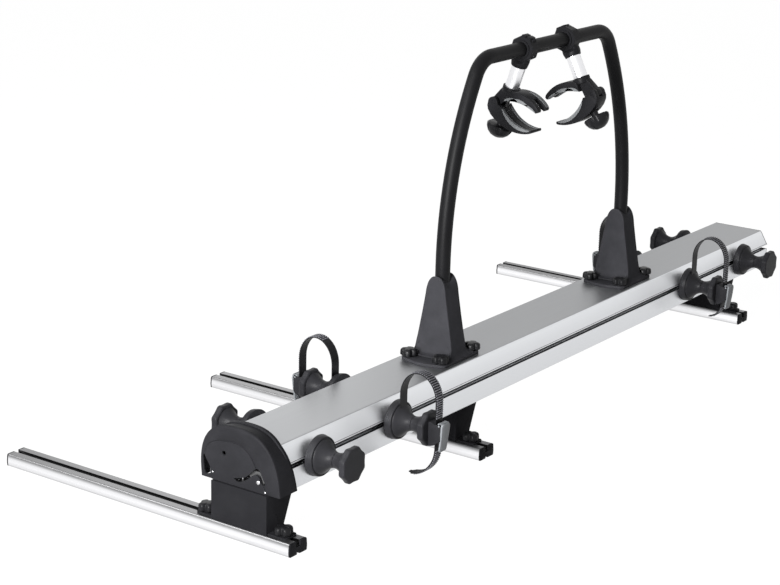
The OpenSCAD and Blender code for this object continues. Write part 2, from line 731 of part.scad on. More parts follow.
module upper_jaw(side) {
    w = claw_half_w;
    fork = 9;
    socket_r = arm_r + 3.5;
    hub_u = 1;
    color("black") on_arm(side) difference() {
        union() {
            difference() {
                claw_slab(-w, w, upper_outline(2));
                // Fork between the two fingers
                claw_slab(-fork, fork, [[60, 60], [110, 60], [110, 130], [60, 130]]);
            }
            // Hub between the lower jaw's cheeks
            claw_slab(-hub_half, hub_half, concat([[hub_u + 3, on_circle_v(upper_in_c, upper_in_r, hub_u + 3, -1) - 1]],
                arc_points(jaw_pivot, pivot_r, 45, 235, 10), [[-17.5, 96], [-14, 92], [hub_u + 3, 92]]));
            translate([0, 0, -tube_v1 - 5]) cylinder(r = socket_r, h = 13, $fn = round_fn);
        }
        translate([0, 0, -tube_v1]) cylinder(r = arm_r + fit_gap, h = 30, $fn = round_fn);
        claw_cross(jaw_pivot, pin_r + fit_gap, -w - 1, w + 1);
        // Room for the screw as the lower jaw swings
        claw_slab(-screw_r - 1.5, screw_r + 1.5, [[-11, tube_v1 + 3], [18, tube_v1 + 3], [18, 132], [-9, 132]]);
        // Room for the cheeks
        for (m = [0, 1]) mirror([m, 0, 0]) claw_cross(jaw_pivot, pivot_r + 3.5, hub_half, 40);
    }
}

// The lower jaw's outline from u0 to its tip
function lower_outline(u0) = let (n = 12, u1 = 80, u2 = 78) concat(
    [for (i = [0:n]) let (u = u0 + (u1 - u0) * i / n) [u, on_circle_v(lower_out_c, lower_out_r, u, 1)]],
    [[u1 + 4.5, 149.5], [u1 + 5, 146], [u1 + 2.5, 144]],
    [for (i = [0:n]) let (u = u2 + (u0 - u2) * i / n) [u, on_circle_v(lower_in_c, lower_in_r, u, 1)]]);

// Turn what belongs to the lower jaw about its pivot
module jaw_turn(side) {
    a = side > 0 ? 0 : right_claw_extra;
    translate([0, -jaw_pivot[0], -jaw_pivot[1]]) rotate([a, 0, 0]) translate([0, jaw_pivot[0], jaw_pivot[1]]) children();
}

module lower_jaw(side) {
    w = claw_half_w - 2;
    cheek = hub_half + cheek_gap;
    heel = [[-31, 139], [-27, 146], [-17, 154], [-6, 159]];
    color("black") on_arm(side) jaw_turn(side) {
        difference() {
            union() {
                claw_slab(-w, w, lower_outline(0));
                // The heel between the cheeks, clear of the hub
                claw_slab(-cheek - 1, cheek + 1, concat([[0.5, 133.5]], arc_points(jaw_pivot, pivot_r + 0.6, 30, 120, 8),
                    heel, [[0.5, 160]]));
                for (m = [0, 1]) mirror([m, 0, 0])
                    claw_slab(cheek, w, concat([[4, on_circle_v(lower_in_c, lower_in_r, 4, 1)]],
                        [[-8, 128]], arc_points(jaw_pivot, pivot_r, -40, -200, 10), heel,
                        [[4, on_circle_v(lower_out_c, lower_out_r, 4, 1)]]));
            }
            claw_cross(jaw_pivot, pin_r + fit_gap, -w - 1, w + 1);
            translate([0, -screw_u, -claw_knob_v - 5]) cylinder(r = screw_r + fit_gap, h = 60, $fn = 32);
            // A flat seat for the knob
            translate([0, -screw_u, -claw_knob_v - 5]) cylinder(r = 10, h = claw_knob_v + 5 - claw_seat_v, $fn = 32);
        }
    }
    color("silver") on_arm(side) claw_cross(jaw_pivot, pin_r, -w + 1, w - 1);
}

claw_seat_v = 158;

module claw_knob(side) {
    h = 28;
    r = 28;
    color("black") on_arm(side) jaw_turn(side) translate([0, -screw_u, -claw_knob_v]) {
        rotate([180, 0, 0]) difference() {
            rotate_extrude($fn = round_fn) polygon([[0, 0], [r - 3, 0], [r, 3], [r - 1, 9], [r - 5, 17], [r - 11, 23], [9, h - 1],
                [0, h]]);
            for (a = [0:60:300]) rotate(a + 30) translate([r + 3, 0, -1]) cylinder(r = 7, h = h + 2, $fn = 24);
        }
        cylinder(r = 8, h = claw_knob_v - claw_seat_v - 0.1, $fn = 32);
        cylinder(r = screw_r, h = claw_knob_v - screw_v0, $fn = 32);
    }
}

// Carry a piece of cradle i to its side: drawn with d out along +Z, its height along +Y
module on_side(side, i) {
    x = side > 0 ? cradle_left_xs[i] : cradle_right_xs[i];
    translate([x, 0, slot_z]) mirror([0, side > 0 ? 0 : 1, 0]) translate([0, cradle_y, 0])
        rotate([-90, 0, 0]) mirror([0, 1, 0]) children();
}

// Turn an outline of d and height, extruded from 0, to stand across X from half to -half
module in_profile(half) {
    translate([half, 0, 0]) rotate([0, -90, 0]) children();
}

// The spool's hollow flank, between the flange and the neck, at s from 0 to 1
function flank(s, r0, len) = [neck_r + (r0 - neck_r) * pow(1 - s, 1.8), len * s];

function spool_profile() = concat([[bolt_r + 0.2, 0], [flange_r - 1, 0], [flange_r, 1], [flange_r, flange_t2 - 1],
    [flange_r - 1, flange_t2], [cone_r + 0.6, flange_t2 + 0.4], [cone_r, flange_t2 + 1.5]],
    [for (i = [1:8]) flank(i / 8, cone_r, spool_len) + [0, flange_t2 + 1.5]],
    [[bolt_r + 0.2, neck_at]]);

function is_strapped(i) = i == strapped[0] || i == strapped[1];

module cradle(side, i) {
    bolt_end = is_strapped(i) ? buckle_d0 + 6 : knob_at - 12;
    head_in = cradle_y - beam_half_w + lip_t + 0.6;
    color("dimgray") on_side(side, i) difference() {
        rotate_extrude($fn = 64) polygon(spool_profile());
        if (is_strapped(i))
            translate([-strap_w / 2 - 0.2, strap_root - 0.4, strap_in - strap_t / 2 - 0.1])
                cube([strap_w + 0.4, 20, strap_t + 0.2]);
    }
    color("silver") on_side(side, i) {
        translate([0, 0, -head_in - 4]) cylinder(r = bolt_r, h = bolt_end + head_in + 4, $fn = 32);
        translate([-10, -6.4, -head_in - 5.5]) cube([20, 12.8, 5.5]);
    }
}

module cradle_knob(side, i) {
    corner = 8;
    start = neck_at + knob_gap;
    waist = knob_at - knob_disc_t;
    color("dimgray") on_side(side, i) difference() {
        union() {
            rotate_extrude($fn = 64) polygon(concat([[0, start], [neck_r, start]],
                [for (s = [1:-1 / 7:0.1]) [neck_r + (knob_r - 8 - neck_r) * pow(1 - s, 1.8), waist + 3 - (waist + 3 - start) * s]],
                [[knob_r - 8, waist + 3], [0, waist + 3]]));
            translate([0, 0, waist]) rotate(22.5) {
                cylinder(r1 = knob_r - 3.5, r2 = knob_r, h = 4, $fn = corner);
                translate([0, 0, 4 - eps]) cylinder(r = knob_r, h = knob_disc_t - 7, $fn = corner);
                translate([0, 0, knob_disc_t - 3 - 2 * eps]) cylinder(r1 = knob_r, r2 = knob_r - 4, h = 3, $fn = corner);
            }
        }
        translate([0, 0, start - 1]) cylinder(r = bolt_r + fit_gap, h = is_strapped(i) ? knob_at : knob_at - 10 - start, $fn = 32);
        if (!is_strapped(i))
            translate([0, 0, knob_at - 2.5]) cylinder(r = knob_r - 12, h = 5, $fn = 48);
    }
}

// The strap's middle line, in d and height: up from the flange, over, and down through the buckle
strap_root = 20;
tail_z = -34;
far_tail_z = -24;
far_tail_turn = 78;
function strap_path(i) =
    let (far = i == strapped[1], rise = loop_w * 0.62, cz = loop_h + (far ? far_loop_extra : 0) - rise,
        z = far ? far_tail_z : tail_z, r = far ? far_tail_r : tail_r, turn = far ? far_tail_turn : 90)
    concat([[strap_in, strap_root], [strap_in, cz]],
        [for (k = [1:18]) let (a = 180 - 10 * k) [(strap_in + strap_out + loop_w * cos(a)) / 2, cz + rise * sin(a)]],
        [[strap_out, z]],
        [for (k = [1:9]) let (a = turn * k / 9) [strap_out - r * (1 - cos(a)), z - r * sin(a)]]);
function tangent(p, i) = unit(p[min(i + 1, len(p) - 1)] - p[max(i - 1, 0)]);
// The path moved sideways by h
function beside(p, h) = [for (i = [0:len(p) - 1]) let (t = tangent(p, i)) p[i] + h * [-t[1], t[0]]];
function path_len(p, i) = i == 0 ? 0 : path_len(p, i - 1) + norm(p[i] - p[i - 1]);
function at_len(p, s, i = 1) = let (l = norm(p[i] - p[i - 1]))
    (s <= l || i == len(p) - 1) ? [p[i - 1] + (p[i] - p[i - 1]) * s / l, unit(p[i] - p[i - 1])] : at_len(p, s - l, i + 1);

// Teeth stand on the outside of the strap from the top of its loop to near its tip, but not in the buckle
module strap(side, i) {
    p = strap_path(i);
    total = path_len(p, len(p) - 1);
    first = path_len(p, 8);
    outside = beside(p, strap_t / 2);
    inside = beside(p, -strap_t / 2);
    color("black") on_side(side, i) in_profile(strap_w / 2) linear_extrude(strap_w) {
            polygon(concat(inside, [for (k = [len(outside) - 1:-1:0]) outside[k]]));
            for (s = [first:tooth_pitch:total - 6]) {
                q = at_len(p, s);
                n = [-q[1][1], q[1][0]];
                clear = q[0][0] > strap_out - 4 && abs(q[0][1] - buckle_mid) < buckle_h / 2 + 6;
                if (!clear) polygon([q[0] - q[1] * 1.6, q[0] + q[1] * 1.6, q[0] + q[1] * 0.9 + n * (strap_t / 2 + tooth_h),
                    q[0] - q[1] * 0.9 + n * (strap_t / 2 + tooth_h)]);
            }
        }
}

module buckle(side, i) {
    top = buckle_mid + buckle_h / 2;
    low = buckle_mid - buckle_h / 2;
    back = buckle_d0 + buckle_base;
    front = lever_pin_d + 3.5;
    color("dimgray") on_side(side, i) in_profile(buckle_half_w) difference() {
        union() {
            linear_extrude(2 * buckle_half_w)
                polygon(rounded([[buckle_d0, low], [back, low + 4], [back, top - 5], [buckle_d0, top]], [2, 1, 1, 2], 3));
            for (z = [0, 2 * buckle_half_w - cheek_t]) translate([0, 0, z]) linear_extrude(cheek_t)
                polygon(rounded([[back - 2, low + 4.4], [front, low + 14], [front, lever_pin_z + 3.2],
                    [back - 2, lever_pin_z + 1]], [0, 4, 3, 0], 3));
        }
        translate([lever_pin_d, lever_pin_z, -1]) cylinder(r = lever_pin_r + fit_gap, h = 60, $fn = 24);
        translate([buckle_d0 - 1, 0, buckle_half_w]) rotate([0, 90, 0]) cylinder(r = bolt_r + fit_gap, h = 8, $fn = 32);
    }
}

module buckle_lever(side, i) {
    hub = 5;
    in_half = strap_w / 2 + 0.1;
    face = lever_pin_d + 4.6;
    z = lever_pin_z;
    color("slategray") on_side(side, i) {
        in_profile(in_half) {
            difference() {
                linear_extrude(2 * in_half) polygon(concat(arc_points([lever_pin_d, z], hub, 20, 250, 10),
                    [[lever_pin_d + 0.5, z - 16], [face + 0.1, z - 20], [face + 0.1, z + 1.5]]));
                translate([lever_pin_d, z, -1]) cylinder(r = lever_pin_r + fit_gap, h = 60, $fn = 24);
            }
            translate([lever_pin_d, z, -cheek_t]) cylinder(r = lever_pin_r, h = 2 * in_half + 2 * cheek_t, $fn = 24);
        }
        in_profile(buckle_half_w) linear_extrude(2 * buckle_half_w) polygon(rounded([[face, z + 4], [face, z - 24], [face + 1, z - lever_len + 4], [face + 3.5, z - lever_len + 4],
                [face + 4, z - 20], [face + 3, z + 4]], [1, 8, 1, 1, 8, 1.2], 4));
    }
}

rail_body(0);  // rail_front
rail_body(1);  // rail_middle
rail_body(2);  // rail_far
rail_end_caps();
bracket(0);  // bracket_front
bracket(mid_x);  // bracket_middle
bracket(far_x);  // bracket_far
inner_rail();
bracket_fasteners();
front_glides();
beam();
end_cap();
end_plate();
rear_glides();
tower(-1);  // tower_front
tower(1);  // tower_far
tower_clamps();
hoop();
latch_lever();
latch_bolt();
arm_bush(1);  // arm_bush_left
arm_collar(1);  // arm_collar_left
arm_tube(1);  // arm_tube_left
upper_jaw(1);  // upper_jaw_left
lower_jaw(1);  // lower_jaw_left
claw_knob(1);  // claw_knob_left
arm_bush(-1);  // arm_bush_right
arm_collar(-1);  // arm_collar_right
arm_tube(-1);  // arm_tube_right
upper_jaw(-1);  // upper_jaw_right
lower_jaw(-1);  // lower_jaw_right
claw_knob(-1);  // claw_knob_right
cradle(-1, 0);  // cradle_right_1
cradle(-1, 1);  // cradle_right_2
cradle(-1, 2);  // cradle_right_3
cradle(-1, 3);  // cradle_right_4
cradle(1, 0);  // cradle_left_1
cradle(1, 1);  // cradle_left_2
cradle(1, 2);  // cradle_left_3
cradle(1, 3);  // cradle_left_4
cradle_knob(-1, 0);  // cradle_knob_right_1
cradle_knob(-1, 1);  // cradle_knob_right_2
cradle_knob(-1, 2);  // cradle_knob_right_3
cradle_knob(-1, 3);  // cradle_knob_right_4
cradle_knob(1, 0);  // cradle_knob_left_1
cradle_knob(1, 1);  // cradle_knob_left_2
cradle_knob(1, 2);  // cradle_knob_left_3
cradle_knob(1, 3);  // cradle_knob_left_4
strap(-1, 1);  // strap_right_2
strap(-1, 2);  // strap_right_3
strap(1, 1);  // strap_left_2
strap(1, 2);  // strap_left_3
buckle(-1, 1);  // buckle_right_2
buckle(-1, 2);  // buckle_right_3
buckle(1, 1);  // buckle_left_2
buckle(1, 2);  // buckle_left_3
buckle_lever(-1, 1);  // buckle_lever_right_2
buckle_lever(-1, 2);  // buckle_lever_right_3
buckle_lever(1, 1);  // buckle_lever_left_2
buckle_lever(1, 2);  // buckle_lever_left_3
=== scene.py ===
import json
import math
import bmesh
import bpy
import numpy as np
from mathutils import Matrix, Vector

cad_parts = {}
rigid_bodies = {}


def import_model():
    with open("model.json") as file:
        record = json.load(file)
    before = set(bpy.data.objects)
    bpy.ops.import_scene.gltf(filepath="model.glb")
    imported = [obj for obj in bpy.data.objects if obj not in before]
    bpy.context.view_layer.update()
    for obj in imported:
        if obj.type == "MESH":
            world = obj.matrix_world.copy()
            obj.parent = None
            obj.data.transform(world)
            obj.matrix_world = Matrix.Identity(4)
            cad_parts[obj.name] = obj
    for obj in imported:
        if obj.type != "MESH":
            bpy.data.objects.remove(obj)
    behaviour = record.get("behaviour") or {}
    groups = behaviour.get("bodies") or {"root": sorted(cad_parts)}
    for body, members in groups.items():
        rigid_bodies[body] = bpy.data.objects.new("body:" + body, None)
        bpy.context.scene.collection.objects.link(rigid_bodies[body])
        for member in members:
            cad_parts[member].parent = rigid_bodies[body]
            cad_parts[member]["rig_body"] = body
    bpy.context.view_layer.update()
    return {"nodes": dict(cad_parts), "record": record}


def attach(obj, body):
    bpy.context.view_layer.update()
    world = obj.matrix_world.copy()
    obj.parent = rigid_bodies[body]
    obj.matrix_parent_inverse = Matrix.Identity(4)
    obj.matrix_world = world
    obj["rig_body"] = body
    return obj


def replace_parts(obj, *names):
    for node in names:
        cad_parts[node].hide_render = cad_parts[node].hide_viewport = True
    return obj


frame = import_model()
nodes = frame["nodes"]
print("frame loaded:", len(nodes), "nodes")

# Camera, lamps, world and floor

view = dict(place=(-2.52635, -2.09709, 1.43513), azimuth=-54.66268, elevation=16.55835, roll=1.26690,
            lens=91.445, sensor=36.0, clipStart=0.05)
lamps = dict(key=dict(place=(-1.6, 1.9, 2.9), target=(0.7, 0, 0.3), size=2.0, power=60.0),
             strip=dict(place=(-2.7, -0.45, 1.5), target=(0.8, 0, 0.45), size=(0.9, 1.8), power=230.0),
             low=dict(place=(-2.0, -0.85, 0.45), target=(0.7, 0, 0.5), size=(0.8, 0.8), power=32.0),
             side=dict(place=(0.2, -3.2, 1.5), target=(0.9, 0, 0.2), size=2.0, power=0.8),
             back=dict(place=(2.05, 1.8, 1.15), target=(0.2, 0, 0.2), size=1.1, power=2.6))
studio = dict(worldLevel=0.08, mirroredLevel=0.95, floorColour=0.35, floorMirrored=1.0, floorGlow=1.15,
              glowShare=0.86, floorReach=9.0)


def makeCamera():
    # It looks along azimuth and elevation, and is rolled about that line
    az, el, roll = (math.radians(view[k]) for k in ("azimuth", "elevation", "roll"))
    ahead = Vector((-math.sin(az) * math.cos(el), math.cos(az) * math.cos(el), -math.sin(el)))
    level = ahead.cross(Vector((0, 0, 1))).normalized()
    plumb = level.cross(ahead)
    right = math.cos(roll) * level + math.sin(roll) * plumb
    up = -math.sin(roll) * level + math.cos(roll) * plumb
    data = bpy.data.cameras.new("camera")
    data.sensor_width = view["sensor"]
    data.lens = view["lens"]
    data.clip_start = view["clipStart"]
    camera = bpy.data.objects.new("camera", data)
    turn = Matrix((right, up, -ahead)).transposed().to_4x4()
    camera.matrix_world = Matrix.Translation(view["place"]) @ turn
    bpy.context.scene.collection.objects.link(camera)
    bpy.context.scene.camera = camera


def areaLight(name, place, target, size, power):
    # A pair of sizes gives a rectangle, and one size a disc
    data = bpy.data.lights.new(name, "AREA")
    if isinstance(size, tuple):
        data.shape = "RECTANGLE"
        data.size, data.size_y = size
    else:
        data.shape = "DISK"
        data.size = size
    data.energy = power
    lamp = bpy.data.objects.new(name, data)
    lamp.location = place
    lamp.rotation_euler = (Vector(target) - Vector(place)).to_track_quat("-Z", "Y").to_euler()
    bpy.context.scene.collection.objects.link(lamp)


def nodeMakers(tree):
    # add makes a shader node with its properties and its inputs' values; join links an output to an input
    def add(kind, inputs=None, **properties):
        node = tree.nodes.new(kind)
        for key, value in properties.items():
            setattr(node, key, value)
        for key, value in (inputs or {}).items():
            node.inputs[key].default_value = value
        return node

    def join(source, out, target, into):
        tree.links.new(source.outputs[out], target.inputs[into])
    return add, join


def emptyTree(owner):
    owner.use_nodes = True
    owner.node_tree.nodes.clear()
    return nodeMakers(owner.node_tree)


def makeWorld():
    # Camera and transmission rays see white, mirrored rays mirroredLevel, and all others worldLevel
    world = bpy.data.worlds.new("studio")
    bpy.context.scene.world = world
    add, join = emptyTree(world)
    path = add("ShaderNodeLightPath")
    seen = add("ShaderNodeMath", operation="MAXIMUM")
    join(path, "Is Camera Ray", seen, 0)
    join(path, "Is Transmission Ray", seen, 1)
    mirrored = add("ShaderNodeMapRange", {"To Min": studio["worldLevel"], "To Max": studio["mirroredLevel"]})
    join(path, "Is Glossy Ray", mirrored, "Value")
    level = add("ShaderNodeMapRange", {"To Max": 1.0})
    join(mirrored, "Result", level, "To Min")
    join(seen, 0, level, "Value")
    background = add("ShaderNodeBackground", {"Color": (1, 1, 1, 1)})
    join(level, "Result", background, "Strength")
    join(background, "Background", add("ShaderNodeOutputWorld"), "Surface")


def makeFloor():
    # Camera rays see a white glow over the floor, mirrored rays a white floor, all others a pale grey one
    reach = studio["floorReach"]
    mesh = bpy.data.meshes.new("floor")
    corners = [(-reach, -reach, 0), (reach, -reach, 0), (reach, reach, 0), (-reach, reach, 0)]
    mesh.from_pydata(corners, [], [(0, 1, 2, 3)])
    floor = bpy.data.objects.new("floor", mesh)
    bpy.context.scene.collection.objects.link(floor)
    material = bpy.data.materials.new("floorWhite")
    add, join = emptyTree(material)
    path = add("ShaderNodeLightPath")
    pale = (studio["floorColour"], studio["floorColour"], studio["floorColour"], 1)
    lit = add("ShaderNodeBsdfDiffuse", {"Color": pale})
    bright = add("ShaderNodeEmission", {"Color": (1, 1, 1, 1), "Strength": studio["floorMirrored"]})
    glow = add("ShaderNodeEmission", {"Color": (1, 1, 1, 1), "Strength": studio["floorGlow"]})
    mirrored = add("ShaderNodeMixShader")
    join(path, "Is Glossy Ray", mirrored, 0)
    join(lit, 0, mirrored, 1)
    join(bright, 0, mirrored, 2)
    share = add("ShaderNodeMath", {1: studio["glowShare"]}, operation="MULTIPLY")
    join(path, "Is Camera Ray", share, 0)
    seen = add("ShaderNodeMixShader")
    join(share, 0, seen, 0)
    join(mirrored, 0, seen, 1)
    join(glow, 0, seen, 2)
    join(seen, 0, add("ShaderNodeOutputMaterial"), "Surface")
    mesh.materials.append(material)


makeCamera()
makeWorld()
makeFloor()
for name, values in lamps.items():
    areaLight(name + "Light", **values)
bpy.context.scene.view_settings.view_transform = "Standard"
print("camera, floor and lights made")

# Effects shared by several materials

grainNoise = dict(scale=14.0, wornFrom=0.42, wornTo=0.72)
drawing = dict(across=1300.0, along=2.5, drift=0.12, bump=0.06)


def newGroup(name, inputs):
    # Every effect gives a colour, a roughness and a height
    group = bpy.data.node_groups.new(name, "ShaderNodeTree")
    for label, kind, default in inputs:
        socket = group.interface.new_socket(label, in_out="INPUT", socket_type="NodeSocket" + kind)
        socket.default_value = default
    for label, kind in (("Colour", "Color"), ("Roughness", "Float"), ("Height", "Float")):
        group.interface.new_socket(label, in_out="OUTPUT", socket_type="NodeSocket" + kind)
    add, join = nodeMakers(group)
    return group, add, join, add("NodeGroupInput"), add("NodeGroupOutput")


def driftingFinish(add, join, source, sink, mask, maskOut, noise, secondColour):
    # The mask mixes the two colours, and roughness = (noise - 0.5) drift + roughness
    tint = add("ShaderNodeMix", data_type="RGBA")
    join(mask, maskOut, tint, 0)
    join(source, "Colour", tint, 6)
    join(source, secondColour, tint, 7)
    centred = add("ShaderNodeMath", {1: 0.5}, operation="SUBTRACT")
    join(noise, "Fac", centred, 0)
    drift = add("ShaderNodeMath", operation="MULTIPLY_ADD")
    join(centred, 0, drift, 0)
    join(source, "Drift", drift, 1)
    join(source, "Roughness", drift, 2)
    join(tint, 2, sink, "Colour")
    join(drift, 0, sink, "Roughness")


def grainGroup():
    # Moulded grain: fine pits as height, with a slow drift of colour and roughness over it
    group, add, join, source, sink = newGroup("mouldedGrain", [
        ("Vector", "Vector", (0, 0, 0)), ("Colour", "Color", (0.03, 0.03, 0.03, 1)),
        ("Worn Colour", "Color", (0.06, 0.06, 0.06, 1)), ("Roughness", "Float", 0.5),
        ("Drift", "Float", 0.08), ("Grain Scale", "Float", 900.0)])
    fine = add("ShaderNodeTexNoise", {"Detail": 3.0, "Roughness": 0.6})
    join(source, "Vector", fine, "Vector")
    join(source, "Grain Scale", fine, "Scale")
    slow = add("ShaderNodeTexNoise", {"Scale": grainNoise["scale"], "Detail": 5.0, "Roughness": 0.6})
    join(source, "Vector", slow, "Vector")
    worn = add("ShaderNodeMapRange", {"From Min": grainNoise["wornFrom"], "From Max": grainNoise["wornTo"]})
    join(slow, "Fac", worn, "Value")
    driftingFinish(add, join, source, sink, worn, "Result", slow, "Worn Colour")
    join(fine, "Fac", sink, "Height")
    return group


def drawnGroup():
    # Die lines of an extrusion: noise stretched along one axis by a Mapping node outside this group
    group, add, join, source, sink = newGroup("dieLines", [
        ("Vector", "Vector", (0, 0, 0)), ("Colour", "Color", (0.7, 0.7, 0.7, 1)),
        ("Line Colour", "Color", (0.6, 0.6, 0.6, 1)), ("Roughness", "Float", 0.35), ("Drift", "Float", 0.1)])
    lines = add("ShaderNodeTexNoise", {"Scale": 1.0, "Detail": 6.0, "Roughness": 0.7})
    join(source, "Vector", lines, "Vector")
    driftingFinish(add, join, source, sink, lines, "Fac", lines, "Line Colour")
    join(lines, "Fac", sink, "Height")
    return group


grain = grainGroup()
dieLines = drawnGroup()
print("shared effects made")

# Finishes


def grey(level):
    return (level, level, level * 1.02, 1)


def dark(level):
    # The blacks lean a little to blue
    return (level, level, level * 1.12, 1)


def newFinish(name, group, values, bump, depth, shaderValues, stretch=(1, 1, 1), paintedLight=()):
    # Object coordinates feed the effect; its colour, with any painted light and shade multiplied over it,
    # and the rest feed the shader
    material = bpy.data.materials.new(name)
    add, join = emptyTree(material)
    coordinates = add("ShaderNodeTexCoord")
    mapping = add("ShaderNodeMapping", {"Scale": stretch})
    effect = add("ShaderNodeGroup", values, node_tree=group)
    relief = add("ShaderNodeBump", {"Strength": bump, "Distance": depth})
    shader = add("ShaderNodeBsdfPrincipled", shaderValues)
    join(coordinates, "Object", mapping, "Vector")
    join(mapping, "Vector", effect, "Vector")
    source, out = effect, "Colour"
    for shade, shadeValues in paintedLight:
        mix = add("ShaderNodeMix", {0: 1.0}, data_type="RGBA", blend_type="MULTIPLY")
        join(source, out, mix, 6)
        shade(add, join, coordinates, mix, **shadeValues)
        source, out = mix, 2
    join(source, out, shader, "Base Color")
    join(effect, "Roughness", shader, "Roughness")
    join(effect, "Height", relief, "Height")
    join(relief, "Normal", shader, "Normal")
    join(shader, "BSDF", add("ShaderNodeOutputMaterial"), "Surface")
    return material


def moulded(name, colour, worn, roughness=0.5, drift=0.15, scale=900.0, bump=0.12, specular=0.28):
    values = {"Colour": colour, "Worn Colour": worn, "Roughness": roughness, "Drift": drift,
              "Grain Scale": scale}
    return newFinish(name, grain, values, bump, 0.0004, {"Specular IOR Level": specular})


def drawnMetal(name, colour, line, along, roughness, paintedLight=()):
    # along is the direction of drawing: 0 for X, 1 for Y, 2 for Z
    stretch = [drawing["across"]] * 3
    stretch[along] = drawing["along"]
    values = {"Colour": colour, "Line Colour": line, "Roughness": roughness, "Drift": drawing["drift"]}
    return newFinish(name, dieLines, values, drawing["bump"], 0.0002, {"Metallic": 1.0}, stretch, paintedLight)


def paintedLightByHeight(add, join, coordinates, mix, low, high, stops):
    # Painted light and shade: the colour is multiplied by levels that change with Z from low to high,
    # darkening the top face and banding the sides. stops holds shares of the way and levels there
    split = add("ShaderNodeSeparateXYZ")
    join(coordinates, "Object", split, "Vector")
    share = add("ShaderNodeMapRange", {"From Min": low, "From Max": high})
    join(split, "Z", share, "Value")
    ramp = add("ShaderNodeValToRGB")
    elements = ramp.color_ramp.elements
    elements.remove(elements[1])
    for k, (at, level) in enumerate(stops):
        stop = elements.new(at) if k else elements[0]
        stop.position = at
        stop.color = (level, level, level, 1)
    join(share, "Result", ramp, "Fac")
    join(ramp, "Color", mix, 7)


def paintedShadeInSlots(add, join, coordinates, mix, axis, centres, half, low, high, level):
    # Painted shade in the slots: darker where the distance to the nearest centre along axis is under half
    # and Z is between low and high
    split = add("ShaderNodeSeparateXYZ")
    join(coordinates, "Object", split, "Vector")
    nearest = None
    for centre in centres:
        offset = add("ShaderNodeMath", {1: centre}, operation="SUBTRACT")
        join(split, axis, offset, 0)
        distance = add("ShaderNodeMath", operation="ABSOLUTE")
        join(offset, 0, distance, 0)
        if nearest:
            least = add("ShaderNodeMath", operation="MINIMUM")
            join(nearest, 0, least, 0)
            join(distance, 0, least, 1)
            distance = least
        nearest = distance
    mask = None
    for node, out, operation, limit in ((nearest, 0, "LESS_THAN", half), (split, "Z", "GREATER_THAN", low),
                                        (split, "Z", "LESS_THAN", high)):
        test = add("ShaderNodeMath", {1: limit}, operation=operation)
        join(node, out, test, 0)
        if mask:
            both = add("ShaderNodeMath", operation="MULTIPLY")
            join(mask, 0, both, 0)
            join(test, 0, both, 1)
            test = both
        mask = test
    join(mask, 0, mix, 0)
    # The painted shade's level
    mix.inputs[7].default_value = (level, level, level, 1)


# Painted light and shade on the rails: a darker top face, lighter and darker bands down the sides, and
# painted shade inside the slots
railPaintedLight = ((paintedLightByHeight, dict(low=0.0, high=0.0248, stops=[
                  (0.0, 0.62), (0.1, 0.66), (0.2, 0.86), (0.45, 0.93), (0.66, 0.84), (0.8, 0.5),
                  (0.88, 0.28), (0.97, 0.25), (0.985, 0.26), (1.0, 0.26)])),
              (paintedShadeInSlots, dict(axis="X", centres=(0.0, 0.597, 1.755), half=0.0105, low=0.003, high=0.0243,
                                 level=0.14)))
# Painted light and shade on the beam: a darker top face and foot, and painted shade inside the side slots
beamPaintedLight = ((paintedLightByHeight, dict(low=0.0996, high=0.184, stops=[
                  (0.0, 0.65), (0.04, 0.73), (0.48, 0.76), (0.62, 0.76), (0.93, 0.86), (0.985, 0.86),
                  (0.995, 0.36), (1.0, 0.36)])),
              (paintedShadeInSlots, dict(axis="Y", centres=(0.0,), half=0.0818, low=0.138, high=0.1535, level=0.1)))

